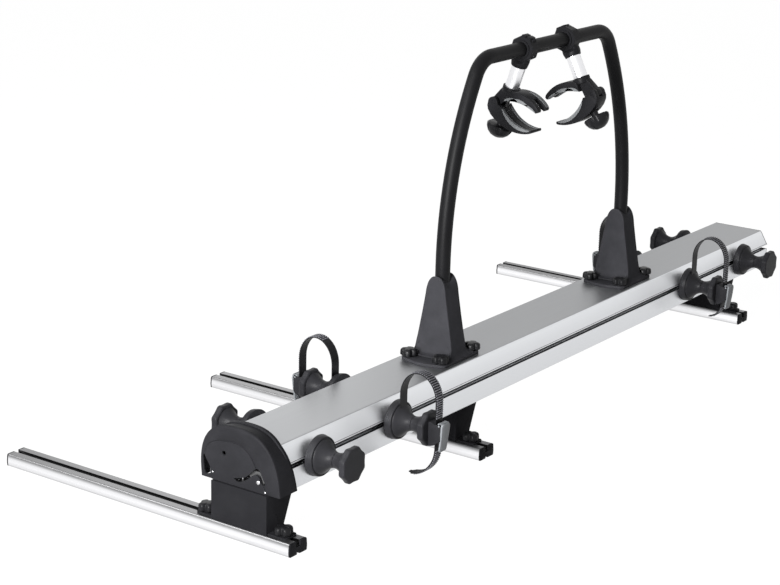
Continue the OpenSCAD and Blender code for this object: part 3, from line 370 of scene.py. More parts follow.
finishes = {
    "rail_aluminium": drawnMetal("railAluminium", grey(0.98), grey(0.9), 1, 0.36, railPaintedLight),
    "beam_aluminium": drawnMetal("beamAluminium", (0.95, 0.965, 0.99, 1), (0.87, 0.885, 0.91, 1), 0, 0.38,
                                 beamPaintedLight),
    "tube_aluminium": drawnMetal("tubeAluminium", grey(0.9), grey(0.8), 2, 0.3),
    "zinc_steel": drawnMetal("zincSteel", grey(0.55), grey(0.45), 0, 0.4),
    "bright_steel": drawnMetal("brightSteel", grey(0.7), grey(0.6), 2, 0.25),
    "black_steel": moulded("blackPowderCoat", dark(0.012), dark(0.016), 0.5, 0.1, 1500.0, 0.1, 0.015),
    "hoop_paint": moulded("hoopPaint", dark(0.005), dark(0.007), 0.45, 0.06, 2200.0, 0.03, 0.09),
    "black_plastic": moulded("blackPlastic", dark(0.01), dark(0.015), 0.45, specular=0.03),
    "cap_plastic": moulded("capPlastic", dark(0.0155), dark(0.0205), 0.45, 0.12, 1400.0, 0.15, 0.02),
    "tower_plastic": moulded("towerPlastic", dark(0.029), dark(0.039), 0.5, 0.15, 800.0, 0.25, 0.025),
    "knob_plastic": moulded("knobPlastic", dark(0.007), dark(0.01), 0.3, 0.1, 1600.0, 0.06, 0.12),
    "claw_plastic": moulded("clawPlastic", dark(0.01), dark(0.014), 0.38, 0.12, 1400.0, 0.12, 0.06),
    "claw_pad": moulded("clawPadRubber", (0.13, 0.135, 0.14, 1), (0.16, 0.165, 0.17, 1), 0.5, 0.1, 1200.0,
                        0.15, 0.15),
    "cradle_plastic": moulded("cradlePlastic", dark(0.017), dark(0.024), 0.38, 0.15, 900.0, 0.25, 0.08),
    "strap_plastic": moulded("strapPlastic", dark(0.007), dark(0.01), 0.4, specular=0.12),
    # The teeth are of the strap's own black plastic: their lighter colour is a painted highlight
    "strap_teeth": moulded("strapTeethPaintedHighlight", dark(0.13), dark(0.17), 0.3, 0.1, 1200.0, 0.05, 0.4),
    "buckle_plastic": moulded("bucklePlastic", dark(0.014), dark(0.02), 0.42, specular=0.06),
    "buckle_lever_plastic": moulded("buckleLeverPlastic", (0.17, 0.18, 0.19, 1), (0.2, 0.21, 0.22, 1), 0.45),
    "lever_plastic": moulded("leverPlastic", grey(0.05), grey(0.07)),
    "glide_nylon": moulded("glideNylon", (0.62, 0.62, 0.58, 1), (0.56, 0.56, 0.5, 1))}
for part in frame["record"]["subparts"]:
    for slot in nodes[part["node"]].material_slots:
        slot.material = finishes[part["material_slot"]]
print("finishes given to the frame")

# How surfaces become meshes. All their sizes are in millimetres


def gridFaces(rows, columns, closed):
    # Quads of a grid of points kept row by row; closed joins the last column to the first
    i, j = np.meshgrid(np.arange(rows - 1), np.arange(columns if closed else columns - 1), indexing="ij")
    k = (j + 1) % columns
    corners = [i * columns + j, i * columns + k, (i + 1) * columns + k, (i + 1) * columns + j]
    return np.stack(corners, -1).reshape(-1, 4)


def outward(points, faces):
    # Six times the volume inside: the sum of a . (b x c) over each face's fan; turned round when negative
    p = np.asarray(points, float)
    total = 0.0
    for size in {len(f) for f in faces}:
        f = np.array([g for g in faces if len(g) == size])
        for k in range(1, size - 1):
            total += np.einsum("ij,ij->", p[f[:, 0]], np.cross(p[f[:, k]], p[f[:, k + 1]]))
    return p, (faces if total > 0 else [g[::-1] for g in faces])


def makePiece(name, parts, surfaces, body, sharp=40.0, closed=True):
    # parts holds points, faces and which surface. The slot is the first surface's unless one is given
    points, faces, finish, start = [], [], [], 0
    for partPoints, partFaces, which in parts:
        if closed:
            partPoints, partFaces = outward(partPoints, partFaces)
        points.append(np.asarray(partPoints, float).reshape(-1, 3) / 1000)
        faces += [[int(v) + start for v in face] for face in partFaces]
        finish += [which] * len(partFaces)
        start += len(points[-1])
    mesh = bpy.data.meshes.new(name)
    mesh.from_pydata(np.concatenate(points).tolist(), [], faces)
    for surface in surfaces:
        mesh.materials.append(finishes[surface])
    mesh.polygons.foreach_set("material_index", finish)
    mesh.polygons.foreach_set("use_smooth", np.ones(len(faces), bool))
    mesh.update()
    mesh.set_sharp_from_angle(angle=math.radians(sharp))
    piece = bpy.data.objects.new(name, mesh)
    bpy.context.scene.collection.objects.link(piece)
    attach(piece, body)
    return piece


def loft(rings):
    # Closed rings of points carried one after another, with a fan at each end
    rings = np.asarray(rings, float)
    rows, columns = rings.shape[:2]
    points = np.vstack([rings.reshape(-1, 3), rings[0].mean(0), rings[-1].mean(0)])
    faces = gridFaces(rows, columns, True).tolist()
    first, last, top = rows * columns, rows * columns + 1, (rows - 1) * columns
    faces += [[first, (j + 1) % columns, j] for j in range(columns)]
    faces += [[last, top + j, top + (j + 1) % columns] for j in range(columns)]
    return points, faces


def aroundCircle(count):
    # Evenly spaced angles of a whole turn
    return np.linspace(0, 2 * math.pi, count, endpoint=False)


def turned(profile, sides):
    # A profile of radius and height turned about Z, with a pole at each end
    radius, height = np.asarray(profile, float).T[..., None]
    a = aroundCircle(sides)
    return loft(np.stack([radius * np.cos(a), radius * np.sin(a), np.repeat(height, sides, 1)], -1))


def alongLine(line, count):
    # The line's points spaced evenly along its length, with their distances from its start
    length = np.concatenate([[0], np.cumsum(np.linalg.norm(np.diff(line, axis=0), axis=1))])
    s = np.linspace(0, length[-1], count)
    return s, np.stack([np.interp(s, length, column) for column in line.T], -1)


def smoothLine(points, count):
    # A Catmull-Rom curve through the points: each span is a cubic of its four nearest points
    p = np.asarray(points, float)
    p = np.vstack([2 * p[0] - p[1], p, 2 * p[-1] - p[-2]])
    a, b, c, d = (p[k:len(p) - 3 + k, None, :] for k in range(4))
    t = np.linspace(0, 1, 12, endpoint=False)[:, None]
    spans = 0.5 * (2 * b + (c - a) * t + (2 * a - 5 * b + 4 * c - d) * t ** 2
                   + (3 * b - a - 3 * c + d) * t ** 3)
    return alongLine(np.vstack([spans.reshape(-1, p.shape[1]), p[-2:-1]]), count)[1]


def roundedShape(corners, radii, steps=8):
    # Each corner b between its neighbours becomes an arc of its radius
    c = np.asarray(corners, float)
    out = []
    for k, r in enumerate(radii):
        b, u, w = c[k], c[k - 1] - c[k], c[(k + 1) % len(c)] - c[k]
        u, w = u / np.linalg.norm(u), w / np.linalg.norm(w)
        half = math.acos(float(u @ w)) / 2
        middle = b + (u + w) / np.linalg.norm(u + w) * r / math.sin(half)
        first = b + u * r / math.tan(half) - middle
        last = b + w * r / math.tan(half) - middle
        start = math.atan2(first[1], first[0])
        turn = (math.atan2(last[1], last[0]) - start + math.pi) % (2 * math.pi) - math.pi
        angles = start + turn * np.arange(steps + 1) / steps
        out.append(middle + r * np.stack([np.cos(angles), np.sin(angles)], -1))
    return np.concatenate(out)


def octagonShare(a):
    # Radius of an octagon over its corner's radius: cos(pi / 8) / cos(angle from the flat's middle)
    fromFlat = (a + math.pi / 8) % (math.pi / 4) - math.pi / 8
    return math.cos(math.pi / 8) / np.cos(fromFlat), fromFlat


def moved(points, matrix):
    # Every point turned by the matrix and then shifted by its last column
    m = np.array(matrix)
    return np.asarray(points, float).reshape(-1, 3) @ m[:3, :3].T + m[:3, 3]


def prism(outline, x0, x1):
    # An outline of Y and Z carried along X
    return loft([np.column_stack([np.full(len(outline), x), outline]) for x in (x0, x1)])


def block(low, high):
    # A box between its lowest and highest corners
    x, y, z = np.array([low, high], float).T
    ring = [[x[0], y[0]], [x[1], y[0]], [x[1], y[1]], [x[0], y[1]]]
    return loft([[[a, b, c] for a, b in ring] for c in z])


def applyModifiers(piece, sharp=40.0):
    # The mesh that the modifiers give takes the place of the piece's own
    bpy.context.view_layer.update()
    mesh = bpy.data.meshes.new_from_object(piece.evaluated_get(bpy.context.evaluated_depsgraph_get()))
    piece.modifiers.clear()
    piece.data = mesh
    mesh.polygons.foreach_set("use_smooth", np.ones(len(mesh.polygons), bool))
    mesh.set_sharp_from_angle(angle=math.radians(sharp))


def cutBy(piece, cutters):
    # Exact booleans, applied to the mesh; the cutters are then removed
    made = []
    for points, faces in cutters:
        points, faces = outward(points, faces)
        mesh = bpy.data.meshes.new("cutter")
        mesh.from_pydata((points / 1000).tolist(), [], [list(map(int, face)) for face in faces])
        cutter = bpy.data.objects.new("cutter", mesh)
        bpy.context.scene.collection.objects.link(cutter)
        cut = piece.modifiers.new("cut", "BOOLEAN")
        cut.solver = "EXACT"
        cut.use_self = True
        cut.operation = "DIFFERENCE"
        cut.object = cutter
        made.append(cutter)
    applyModifiers(piece)
    for cutter in made:
        bpy.data.objects.remove(cutter)


# End cap of the beam

cap = dict(halfWidth=90.0, frontHeight=115.0, rearHeight=112.0, base=100.0, power=2.6, wall=2.4, samples=121,
           rearTop=17.0, rearFoot=36.0, rearBend=86.0, rim=7.0, lip=3.0, lipFrom=0.55, lipOver=0.25,
           frontFoot=15.5, nose=29.0, foldTop=6.5, foldSide=2.5, edge=1.6, panelStep=2.0,
           panel=[(-61.5, 0), (-54, 16), (-47.5, 29), (-43, 40), (-37, 56), (-30, 68), (-19, 78), (-5, 83.5),
                  (14, 84.5), (29, 82.5), (49, 78.5), (67, 68), (76, 53), (76.5, 40), (72, 23), (66, 10),
                  (65, 0)],
           fingerSlot=[(13, 14), (2, 10), (-14, 17), (-37, 33.5), (-46, 31), (-52, 18), (-60, 19), (-54, 30),
                       (-49, 43), (-41, 46), (-28, 34), (-12, 22)],
           sideHollow=[(65, 11), (80, 8), (82, 34), (79, 46), (67, 26)], pinHole=(30, 59.5, 4.2),
           screws=((-45, 20.6, 3.6, -20.4), (-58.0, 4.0, 2.2, -16.6), (61.0, 15.0, 2.2, -17.8)))


def capLean(z):
    # The front leans: x = -(foot + (nose - foot) z / height)
    return -(cap["frontFoot"] + (cap["nose"] - cap["frontFoot"]) * z / cap["frontHeight"])


def capRows():
    # Rows run from the rear edge over the fold to the panel, then down the panel's face to its foot. Those
    # before the panel are half superellipses: width and height are cosine and sine to the power 2 / power
    n = cap["samples"]
    a = np.linspace(0, math.pi, n)
    y0 = -np.sign(np.cos(a)) * np.abs(np.cos(a)) ** (2 / cap["power"])
    z0 = np.maximum(np.sin(a), 0) ** (2 / cap["power"])
    fold = cap["foldSide"] + (cap["foldTop"] - cap["foldSide"]) * z0 ** 3
    lip = cap["lip"] * np.clip((z0 - cap["lipFrom"]) / cap["lipOver"], 0, 1)
    belowBend = np.maximum(1 - cap["rearHeight"] * z0 / cap["rearBend"], 0)
    rear = cap["rearTop"] + (cap["rearFoot"] - cap["rearTop"]) * belowBend
    front = capLean(cap["frontHeight"] * z0)
    behind = rear - cap["rim"] - 2
    rows = []

    def ring(share, inset, x):
        # share 0 is the rear outline and 1 the front outline; inset shrinks it
        height = cap["rearHeight"] + (cap["frontHeight"] - cap["rearHeight"]) * share - inset
        rows.append(np.stack([x, (cap["halfWidth"] - inset) * y0, height * z0], -1))

    ring(0, 0.6, rear)
    ring(0, 0, rear - 0.8)
    ring(0, 0, rear - cap["rim"])
    ring(0, lip, rear - cap["rim"] - 0.6)
    ring(0.1, lip, behind)
    for share in (0.35, 0.6, 0.85):
        ring(share, lip * (1 - share), behind + (front + fold - behind) * share)
    for b in np.linspace(0, math.pi / 2, 7):
        back = cap["edge"] + (fold - cap["edge"]) * (1 - math.sin(b))
        ring(1, fold * 0.9 * (1 - math.cos(b)), front + back)
    panel = smoothLine(cap["panel"], n)
    last = rows[-1][:, 1:]
    for share in (0.5, 0.97):
        yz = last + (panel - last) * share
        rows.append(np.column_stack([capLean(yz[:, 1]) + cap["edge"] - 0.2 * share, yz]))
    for shrink, back in ((1, cap["panelStep"]), ((0.985, 0.988), 0.25), ((0.975, 0.98), 0)):
        inner = panel * shrink
        rows.append(np.column_stack([capLean(inner[:, 1]) + back, inner]))
    foot = np.column_stack([np.linspace(inner[0, 0], inner[-1, 0], n), np.zeros(n)])
    for share in (0.25, 0.5, 0.75, 1.0):
        yz = inner + (foot - inner) * share
        rows.append(np.column_stack([capLean(yz[:, 1]), yz]))
    return np.array(rows) + [0, 0, cap["base"]]


def makeEndCap():
    # The cover gets a wall of even thickness, and the openings are cut through its face
    points = capRows()
    faces = gridFaces(len(points), cap["samples"], False)
    piece = makePiece("capCover", [(points, faces, 0)], ["cap_plastic"], "carriage", closed=False)
    shell = piece.modifiers.new("wall", "SOLIDIFY")
    shell.thickness = cap["wall"] / 1000
    shell.offset = -1
    fingerSlot = smoothLine(cap["fingerSlot"] + cap["fingerSlot"][:1], 60)[:-1]
    sideHollow = smoothLine(cap["sideHollow"] + cap["sideHollow"][:1], 40)[:-1]
    y, z, r = cap["pinHole"]
    pinHole = np.stack([y + r * np.cos(aroundCircle(24)), z + r * np.sin(aroundCircle(24))], -1)
    cutBy(piece, [prism(outline + [0, cap["base"]], -80, back)
                  for outline, back in ((fingerSlot, -9), (sideHollow, -9), (pinHole, -12))])
    return piece


def makeCapScrews():
    # Domed screw heads standing on the cap's face
    parts = []
    for y, z, r, x in cap["screws"]:
        head = turned([[0, 0], [r * 0.55, -0.1], [r * 0.85, -0.5], [r, -1.1], [r, -3.2], [0, -3.2]], 24)
        turn = Matrix.Translation((x, y, cap["base"] + z)) @ Matrix.Rotation(-math.pi / 2, 4, "Y")
        parts.append((moved(head[0], turn), head[1], 0))
    return makePiece("capScrews", parts, ["bright_steel"], "carriage")


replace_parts(makeEndCap(), "end_cap")
makeCapScrews()
print("end cap made")

# Wheel cradles and their knobs

cradle = dict(rightPlaces=(102, 342, 1515, 1797), leftPlaces=(132, 394, 1571, 1825), slotHeight=145.7,
              wall=83.0, flangeRadius=37.0, flangeWidth=14.0, rim=1.8, coneRadius=32.0, neckRadius=14.5,
              neckEnd=42.0, boltRadius=4.0, boltStart=-9.2, boltPast=6.4, boltShort=12.0,
              boltHead=((-10, -6.4, -10.7), (10, 6.4, -5.2)), knobRadius=35.0, knobEnd=83.0,
              knobDisc=15.0, flatHollow=0.8, strapped=(2, 3))
sides = {"right": -1, "left": 1}


def besideBeam(side, i, points):
    # x along the beam, h up and d out from the beam's side
    x, h, d = np.asarray(points, float).reshape(-1, 3).T
    at = cradle["rightPlaces" if side < 0 else "leftPlaces"][i - 1]
    return np.stack([x + at, side * (cradle["wall"] + d), cradle["slotHeight"] + h], -1)


def makeCradle(side, word, i):
    # The spool's flank: radius = neck + (cone - neck) (1 - t)^1.8, with t from 0 at the flange to 1
    r, w, cone, neck = (cradle[k] for k in ("flangeRadius", "flangeWidth", "coneRadius", "neckRadius"))
    rim, reach = r + cradle["rim"], cradle["neckEnd"]
    t = np.linspace(0, 1, 14)[1:]
    flank = np.stack([neck + (cone - neck) * (1 - t) ** 1.8, w + 1.5 + (reach - w - 1.5) * t], -1)
    flange = [[0, 0], [rim - 1.4, 0], [rim - 0.4, 0.5], [rim, 1.7], [r, w - 2.6], [r - 0.4, w - 1.1],
              [r - 1.4, w - 0.2], [r - 2.8, w], [r - 3.4, w - 0.1], [r - 3.6, w - 0.9],
              [cone + 0.7, w - 0.9], [cone + 0.5, w + 0.3], [cone, w + 1.5]]
    spool = turned(np.vstack([flange, flank, [[0, reach]]]), 72)
    end = cradle["knobEnd"] + (cradle["boltPast"] if i in cradle["strapped"] else -cradle["boltShort"])
    start, radius = cradle["boltStart"], cradle["boltRadius"]
    bolt = turned([[0, start], [radius, start], [radius, end - 0.6], [radius - 0.6, end], [0, end]], 24)
    parts = [(spool, 0), (bolt, 1), (block(*cradle["boltHead"]), 1)]
    return makePiece("cradleSpool" + word + str(i), [(besideBeam(side, i, p), f, m) for (p, f), m in parts],
                     ["cradle_plastic", "bright_steel"], f"support_{word}_{i}", 32)


def makeCradleKnob(side, word, i):
    # The disc is an octagon with blunt corners and slightly hollow flats: with a measured from a flat's
    # middle, radius = r cos(pi / 8) / cos(a) - hollow cos^2(4 a). The profile's third column turns it on
    neck, big, end = cradle["neckRadius"], cradle["knobRadius"], cradle["knobEnd"]
    start, waist = cradle["neckEnd"] + 0.4, end - cradle["knobDisc"]
    t = np.linspace(0, 1, 12)
    height = start + 1.4 + (waist + 0.2 - start) * t
    flank = np.stack([neck + (big - 8.5 - neck) * t ** 1.8, height, 0 * t], -1)
    disc = [[big - 6, waist + 1.2, 0.7], [big - 3, waist + 1.6, 1], [big - 1.2, waist + 2.6, 1],
            [big - 0.2, waist + 4, 1], [big, waist + 5.5, 1], [big, end - 3.4, 1], [big - 0.5, end - 1.6, 1],
            [big - 1.7, end - 0.5, 1], [big - 3.4, end - 0.05, 1], [big - 6, end, 1], [0, end, 0]]
    profile = np.vstack([[[0, start, 0], [neck - 1, start, 0], [neck - 0.2, start + 0.4, 0]], flank, disc])
    a = aroundCircle(96)
    octagon, fromFlat = octagonShare(a)
    dip = 1 - np.minimum(octagon - cradle["flatHollow"] / big * np.cos(4 * fromFlat) ** 2, 0.985)
    radius = profile[:, :1] * (1 - profile[:, 2:] * dip)
    rings = np.stack([radius * np.cos(a), radius * np.sin(a), np.repeat(profile[:, 1:2], len(a), 1)], -1)
    points, faces = loft(rings)
    return makePiece("cradleKnob" + word + str(i), [(besideBeam(side, i, points), faces, 0)],
                     ["cradle_plastic"], f"cradle_knob_{word}_{i}", 32)


for word, side in sides.items():
    for i in range(1, 5):
        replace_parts(makeCradle(side, word, i), f"cradle_{word}_{i}")
        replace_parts(makeCradleKnob(side, word, i), f"cradle_knob_{word}_{i}")
print("cradles made")

# Straps

strap = dict(width=22.0, thickness=2.2, root=20.0, inside=17.0, loopWidth=80.5, rise=0.62,
             loopHeight={2: 104.0, 3: 120.0}, tailHeight={2: -34.0, 3: -24.0}, curl={2: 62.0, 3: 42.0},
             turn={2: 90.0, 3: 78.0}, tip=9.0, samples=220, toothHeight=1.7, toothPitch=4.4, toothWidth=20.0,
             beforeCrest=14.0, bareTip=16.0, buckleMiddle=-6.0, buckleHalf=31.0)


def strapLine(i):
    # Up from the flange, over half an ellipse, down through the buckle and out on an arc
    out = strap["inside"] + strap["loopWidth"]
    rise = strap["loopWidth"] * strap["rise"]
    top = strap["loopHeight"][i] - rise
    a = np.radians(np.linspace(180, 0, 40))
    across = (strap["inside"] + out + strap["loopWidth"] * np.cos(a)) / 2
    over = np.stack([across, top + rise * np.sin(a)], -1)
    b = np.radians(np.linspace(0, strap["turn"][i], 30))
    r = strap["curl"][i]
    tail = np.stack([out - r * (1 - np.cos(b)), strap["tailHeight"][i] - r * np.sin(b)], -1)
    line = np.vstack([[[strap["inside"], strap["root"] - 2]], over, tail])
    return alongLine(line, strap["samples"])


def makeStrap(side, word, i):
    # A grooved section is carried along the line, and narrows at the tail's tip
    s, line = strapLine(i)
    along = np.gradient(line, s, axis=0)
    along /= np.linalg.norm(along, axis=1)[:, None]
    outside = np.stack([-along[:, 1], along[:, 0]], -1)
    w, t = strap["width"] / 2, strap["thickness"] / 2
    section = np.array([[-w, -t + 0.4], [-w + 0.4, -t], [w - 0.4, -t], [w, -t + 0.4], [w, t - 0.4],
                        [w - 0.4, t], [w - 1.5, t], [w - 1.9, t - 0.5], [-w + 1.9, t - 0.5], [-w + 1.5, t],
                        [-w + 0.4, t], [-w, t - 0.4]])
    narrow = np.clip((s[-1] - s) / strap["tip"], 0.35, 1)[:, None]
    dh = line[:, None, :] + outside[:, None, :] * section[None, :, 1:]
    points, faces = loft(np.stack([section[:, 0] * narrow, dh[..., 1], dh[..., 0]], -1))
    parts = [(besideBeam(side, i, points), faces, 0)]
    # Teeth: a ridge across the strap at each pitch, from just before the loop's crest, but not in the buckle
    crest = s[np.argmax(line[:, 1])] - strap["beforeCrest"]
    places = np.arange(crest, s[-1] - strap["bareTip"], strap["toothPitch"])
    at = np.stack([np.interp(places, s, column) for column in line.T], -1)
    go = np.stack([np.interp(places, s, column) for column in along.T], -1)
    up = np.stack([-go[:, 1], go[:, 0]], -1)
    inBuckle = np.abs(at[:, 1] - strap["buckleMiddle"]) < strap["buckleHalf"]
    keep = ~((at[:, 0] > strap["inside"] + strap["loopWidth"] - 4) & inBuckle)
    crown = t + strap["toothHeight"]
    tooth = np.array([[-1.0, t - 0.7], [-0.8, crown - 0.4], [-0.4, crown], [0.4, crown], [0.8, crown - 0.4],
                      [1.0, t - 0.7]])
    for p, g, n in zip(at[keep], go[keep], up[keep]):
        ring = p + tooth[:, :1] * g + tooth[:, 1:] * n
        points, faces = loft([np.column_stack([np.full(len(ring), x), ring[:, 1], ring[:, 0]])
                              for x in (-strap["toothWidth"] / 2, strap["toothWidth"] / 2)])
        # The teeth take the lighter second finish, a painted highlight
        parts.append((besideBeam(side, i, points), faces, 1))
    return makePiece("strap" + word.capitalize() + str(i), parts, ["strap_plastic", "strap_teeth"],
                     f"support_{word}_{i}", 35)


for word, side in sides.items():
    for i in cradle["strapped"]:
        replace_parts(makeStrap(side, word, i), f"strap_{word}_{i}")
print("straps made")

# Levers of the strap buckles

lever = dict(pinOut=106.5, pinHeight=13.0, hub=5.0, hubHalf=11.0, pin=2.0, pinHalf=13.4, webHalf=4.0,
             halfTop=13.4, halfFoot=11.4, top=17.0, length=56.0, thickness=3.6, round=0.9, outTop=112.9,
             lean=6.0, cornerTop=7.0, cornerFoot=4.0)


def crossRod(radius, reach, h, d):
    # A round rod along X with small chamfers
    a = aroundCircle(32)
    x = np.array([[-reach], [-reach + 0.4], [reach - 0.4], [reach]])
    r = np.array([[radius - 0.4], [radius], [radius], [radius - 0.4]])
    return loft(np.stack([np.repeat(x, len(a), 1), h + r * np.sin(a), d + r * np.cos(a)], -1))


def makeLever(side, word, i):
    # The plate's middle lies at outTop - lean s^1.6 for s from 0 at its top to 1 at its foot
    k = lever
    s = 0.5 - 0.5 * np.cos(np.linspace(0, math.pi, 40))
    half = k["halfTop"] + (k["halfFoot"] - k["halfTop"]) * s
    for corner, gap in ((k["cornerTop"], s * k["length"]), (k["cornerFoot"], (1 - s) * k["length"])):
        near = np.clip(corner - gap, 0, corner)
        half = half - corner + np.sqrt(corner ** 2 - near ** 2)
    out = k["outTop"] - k["lean"] * s ** 1.6
    t = k["thickness"] / 2
    section = roundedShape([(-1, -t), (1, -t), (1, t), (-1, t)], (0.001, 0.001, k["round"], k["round"]), 3)
    x = np.sign(section[:, 0]) * np.maximum(half - 1, 0.2)[:, None] + section[:, 0]
    h = np.repeat((k["top"] - s * k["length"])[:, None], len(section), 1)
    plate = loft(np.stack([x, h, out[:, None] + section[:, 1]], -1))
    rods = [crossRod(k["hub"], k["hubHalf"], k["pinHeight"], k["pinOut"]),
            crossRod(k["pin"], k["pinHalf"], k["pinHeight"], k["pinOut"])]
    web = block((-k["hubHalf"], k["pinHeight"] - k["webHalf"], k["pinOut"]),
                (k["hubHalf"], k["pinHeight"] + k["webHalf"], k["outTop"]))
    return makePiece("buckleLever" + word.capitalize() + str(i),
                     [(besideBeam(side, i, p), f, 0) for p, f in (plate, *rods, web)],
                     ["buckle_lever_plastic"], f"buckle_lever_{word}_{i}", 35)


for word, side in sides.items():
    for i in cradle["strapped"]:
        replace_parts(makeLever(side, word, i), f"buckle_lever_{word}_{i}")
print("buckle levers made")

# Pads of the claws. An arc is its centre's u and v and its radius

claw = dict(places={1: 885.0, -1: 1052.0}, lean={1: 18.0, -1: 26.0}, opened={1: 0.0, -1: 6.0}, bar=769.8,
            pivot=(-21.5, 128.0), upperArc=(52.0, 195.0, 95.0), upperBack=(42.0, 160.0, 77.0),
            upperHalf=22.4, upperFull=(15, 60), upperSides=((4, 34, 6.0), (50, 80, 3)),
            upperRear=(36, 84, 3, 0.9), lowerArc=(56.0, 72.0, 78.0), lowerHalf=20.4, lowerFull=(5, 80),
            proud=1.2, beyondSide=0.3, crescent=6.0, stripWidth=8.0, fork=9.5)


def onArm(side, points, turn=0.0):
    # x across the claw, u towards its mouth and v down the arm; turn opens the lower jaw about its pivot
    x, u, v = np.asarray(points, float).reshape(-1, 3).T
    py, pz = -claw["pivot"][0], -claw["pivot"][1]
    c, s = math.cos(math.radians(turn)), math.sin(math.radians(turn))
    y, z = (-u - py) * c - (-v - pz) * s + py, (-u - py) * s + (-v - pz) * c + pz
    c, s = math.cos(math.radians(claw["lean"][side])), math.sin(math.radians(claw["lean"][side]))
    return np.stack([x + claw["places"][side], side * (y * c - z * s), claw["bar"] + y * s + z * c], -1)


def padStrip(arc, sign, u0, u1, x0, x1, inside, outside):
    # A strip on the arc v = centre's v - sign sqrt(r^2 - (u - centre's u)^2). It reaches inside and outside
    # millimetres towards and away from the centre, and both shrink as sqrt(sin) towards its ends
    cu, cv, r = arc
    u = np.linspace(u0, u1, 40)
    v = cv - sign * np.sqrt(r * r - (u - cu) ** 2)
    share = np.sqrt(np.maximum(np.sin(np.linspace(0, math.pi, 40)), 0.004))
    away, near, blunt = -outside * share, inside * share, 0.3
    side = near - blunt * share
    x = np.array([x0, x1, x1, x1 - blunt, x0 + blunt, x0])
    n = np.stack([away, away, side, near, near, side], -1)
    rings = [np.broadcast_to(x, n.shape), u[:, None] + ((cu - u) / r)[:, None] * n,
             v[:, None] + ((cv - v) / r)[:, None] * n]
    return loft(np.stack(rings, -1))


def makePads(side, word):
    # The upper pad's full width starts behind the clamp's screw, which passes between two side strips
    deep, proud, fork = claw["crescent"], claw["proud"], claw["fork"]
    w = claw["upperHalf"] + claw["beyondSide"]
    upper = [padStrip(claw["upperArc"], 1, *claw["upperFull"], -w, w, proud, deep)]
    for u0, u1, outside in claw["upperSides"]:
        for x0, x1 in ((-w, -fork), (fork, w)):
            upper.append(padStrip(claw["upperArc"], 1, u0, u1, x0, x1, proud, outside))
    u0, u1, inside, outside = claw["upperRear"]
    upper.append(padStrip(claw["upperBack"], 1, u0, u1, fork + 1, w - 1.5, inside, outside))
    makePiece("upperPad" + word.capitalize(), [(onArm(side, p), f, 0) for p, f in upper], ["claw_pad"],
              f"arm_{word}")
    w, strip, opened = claw["lowerHalf"] + claw["beyondSide"], claw["stripWidth"], claw["opened"][side]
    lower = [padStrip(claw["lowerArc"], -1, *claw["lowerFull"], x0, x1, proud, deep)
             for x0, x1 in ((-w, strip - w), (w - strip, w))]
    makePiece("lowerPad" + word.capitalize(), [(onArm(side, p, opened), f, 0) for p, f in lower],
              ["claw_pad"], f"lower_jaw_{word}")


# Clamp collars of the arms

collar = dict(corner=27.5, half=12.6, edge=1.4, bore=17.7, boreEdge=0.6, earRoot=21.5, earTop=28.4,
              earFar=12.0, socket=17.0, boltDrop=6.0)


def makeCollar(side, word):
    # An octagonal clamp with a round bore: radius = r cos(pi / 8) / cos(a), with a from a flat's middle
    c = collar
    a = aroundCircle(64) + math.pi / 64
    octagon = c["corner"] * octagonShare(a)[0]
    w, e, f, bore = c["half"], c["edge"], c["boreEdge"], np.full(64, c["bore"])
    rings = [np.stack([np.full(64, x), r * np.cos(a), r * np.sin(a)], -1)
             for x, r in ((-w, octagon - e), (-w + e, octagon), (w - e, octagon), (w, octagon - e),
                          (w, bore + f), (w - f, bore), (-w + f, bore), (-w, bore + f))]
    faces = gridFaces(len(rings) + 1, 64, True) % (len(rings) * 64)
    parts = [(np.concatenate(rings), faces.tolist(), 0)]
    # Two clamp ears over the bar
    for u in (-1, 1):
        root, top, far = -c["earRoot"], -c["earTop"], c["earFar"]
        ear = roundedShape([(u, root), (u * far, root), (u * (far - 1.5), top), (u, top)],
                           (0.2, 0.2, 2.5, 0.8), 4)
        middle, wide = ear.mean(0), w - 2
        parts.append((*loft([np.column_stack([np.full(len(ear), x), (ear - middle) * share + middle])
                             for x, share in ((-wide, 0.9), (1 - wide, 1), (wide - 1, 1), (wide, 0.9))]), 0))
    # The neck narrows from a block to the tube's socket: distance down, half width, half depth, squareness
    b = aroundCircle(48)
    square = 1 / np.maximum(np.abs(np.cos(b)), np.abs(np.sin(b))) ** 0.8
    socket = c["socket"]
    rings = []
    for v, across, deep, blend in ((c["bore"] - 2, w - 1, 17, 0.75), (c["bore"] + 7, w - 1, 18, 0.75),
                                   (30, 16.6, 17.4, 0.45), (35, socket + 0.6, socket + 0.6, 0.075),
                                   (38.6, socket, socket, 0), (39.4, socket - 0.7, socket - 0.7, 0)):
        shape = 1 + (square - 1) * blend
        rings.append(np.stack([across * shape * np.cos(b), deep * shape * np.sin(b), np.full(48, v)], -1))
    parts.append((*loft(rings), 0))
    bolt = turned([[0, -16], [4.6, -16], [5, -15.4], [5, -12.4], [2.4, -12.2], [2.4, 13], [0, 13]], 24)
    turn = Matrix.Translation((0, 0, c["boltDrop"] - c["earTop"])) @ Matrix.Rotation(math.pi / 2, 4, "X")
    parts.append((moved(bolt[0], turn), bolt[1], 1))
    return makePiece("armCollar" + word.capitalize(), [(onArm(side, p), f, m) for p, f, m in parts],
                     ["claw_plastic", "black_steel"], f"arm_{word}", 28)


for word, side in sides.items():
    makePads(side, word)
    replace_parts(makeCollar(side, word), f"arm_collar_{word}")
print("claw pads and collars made")

# Towers

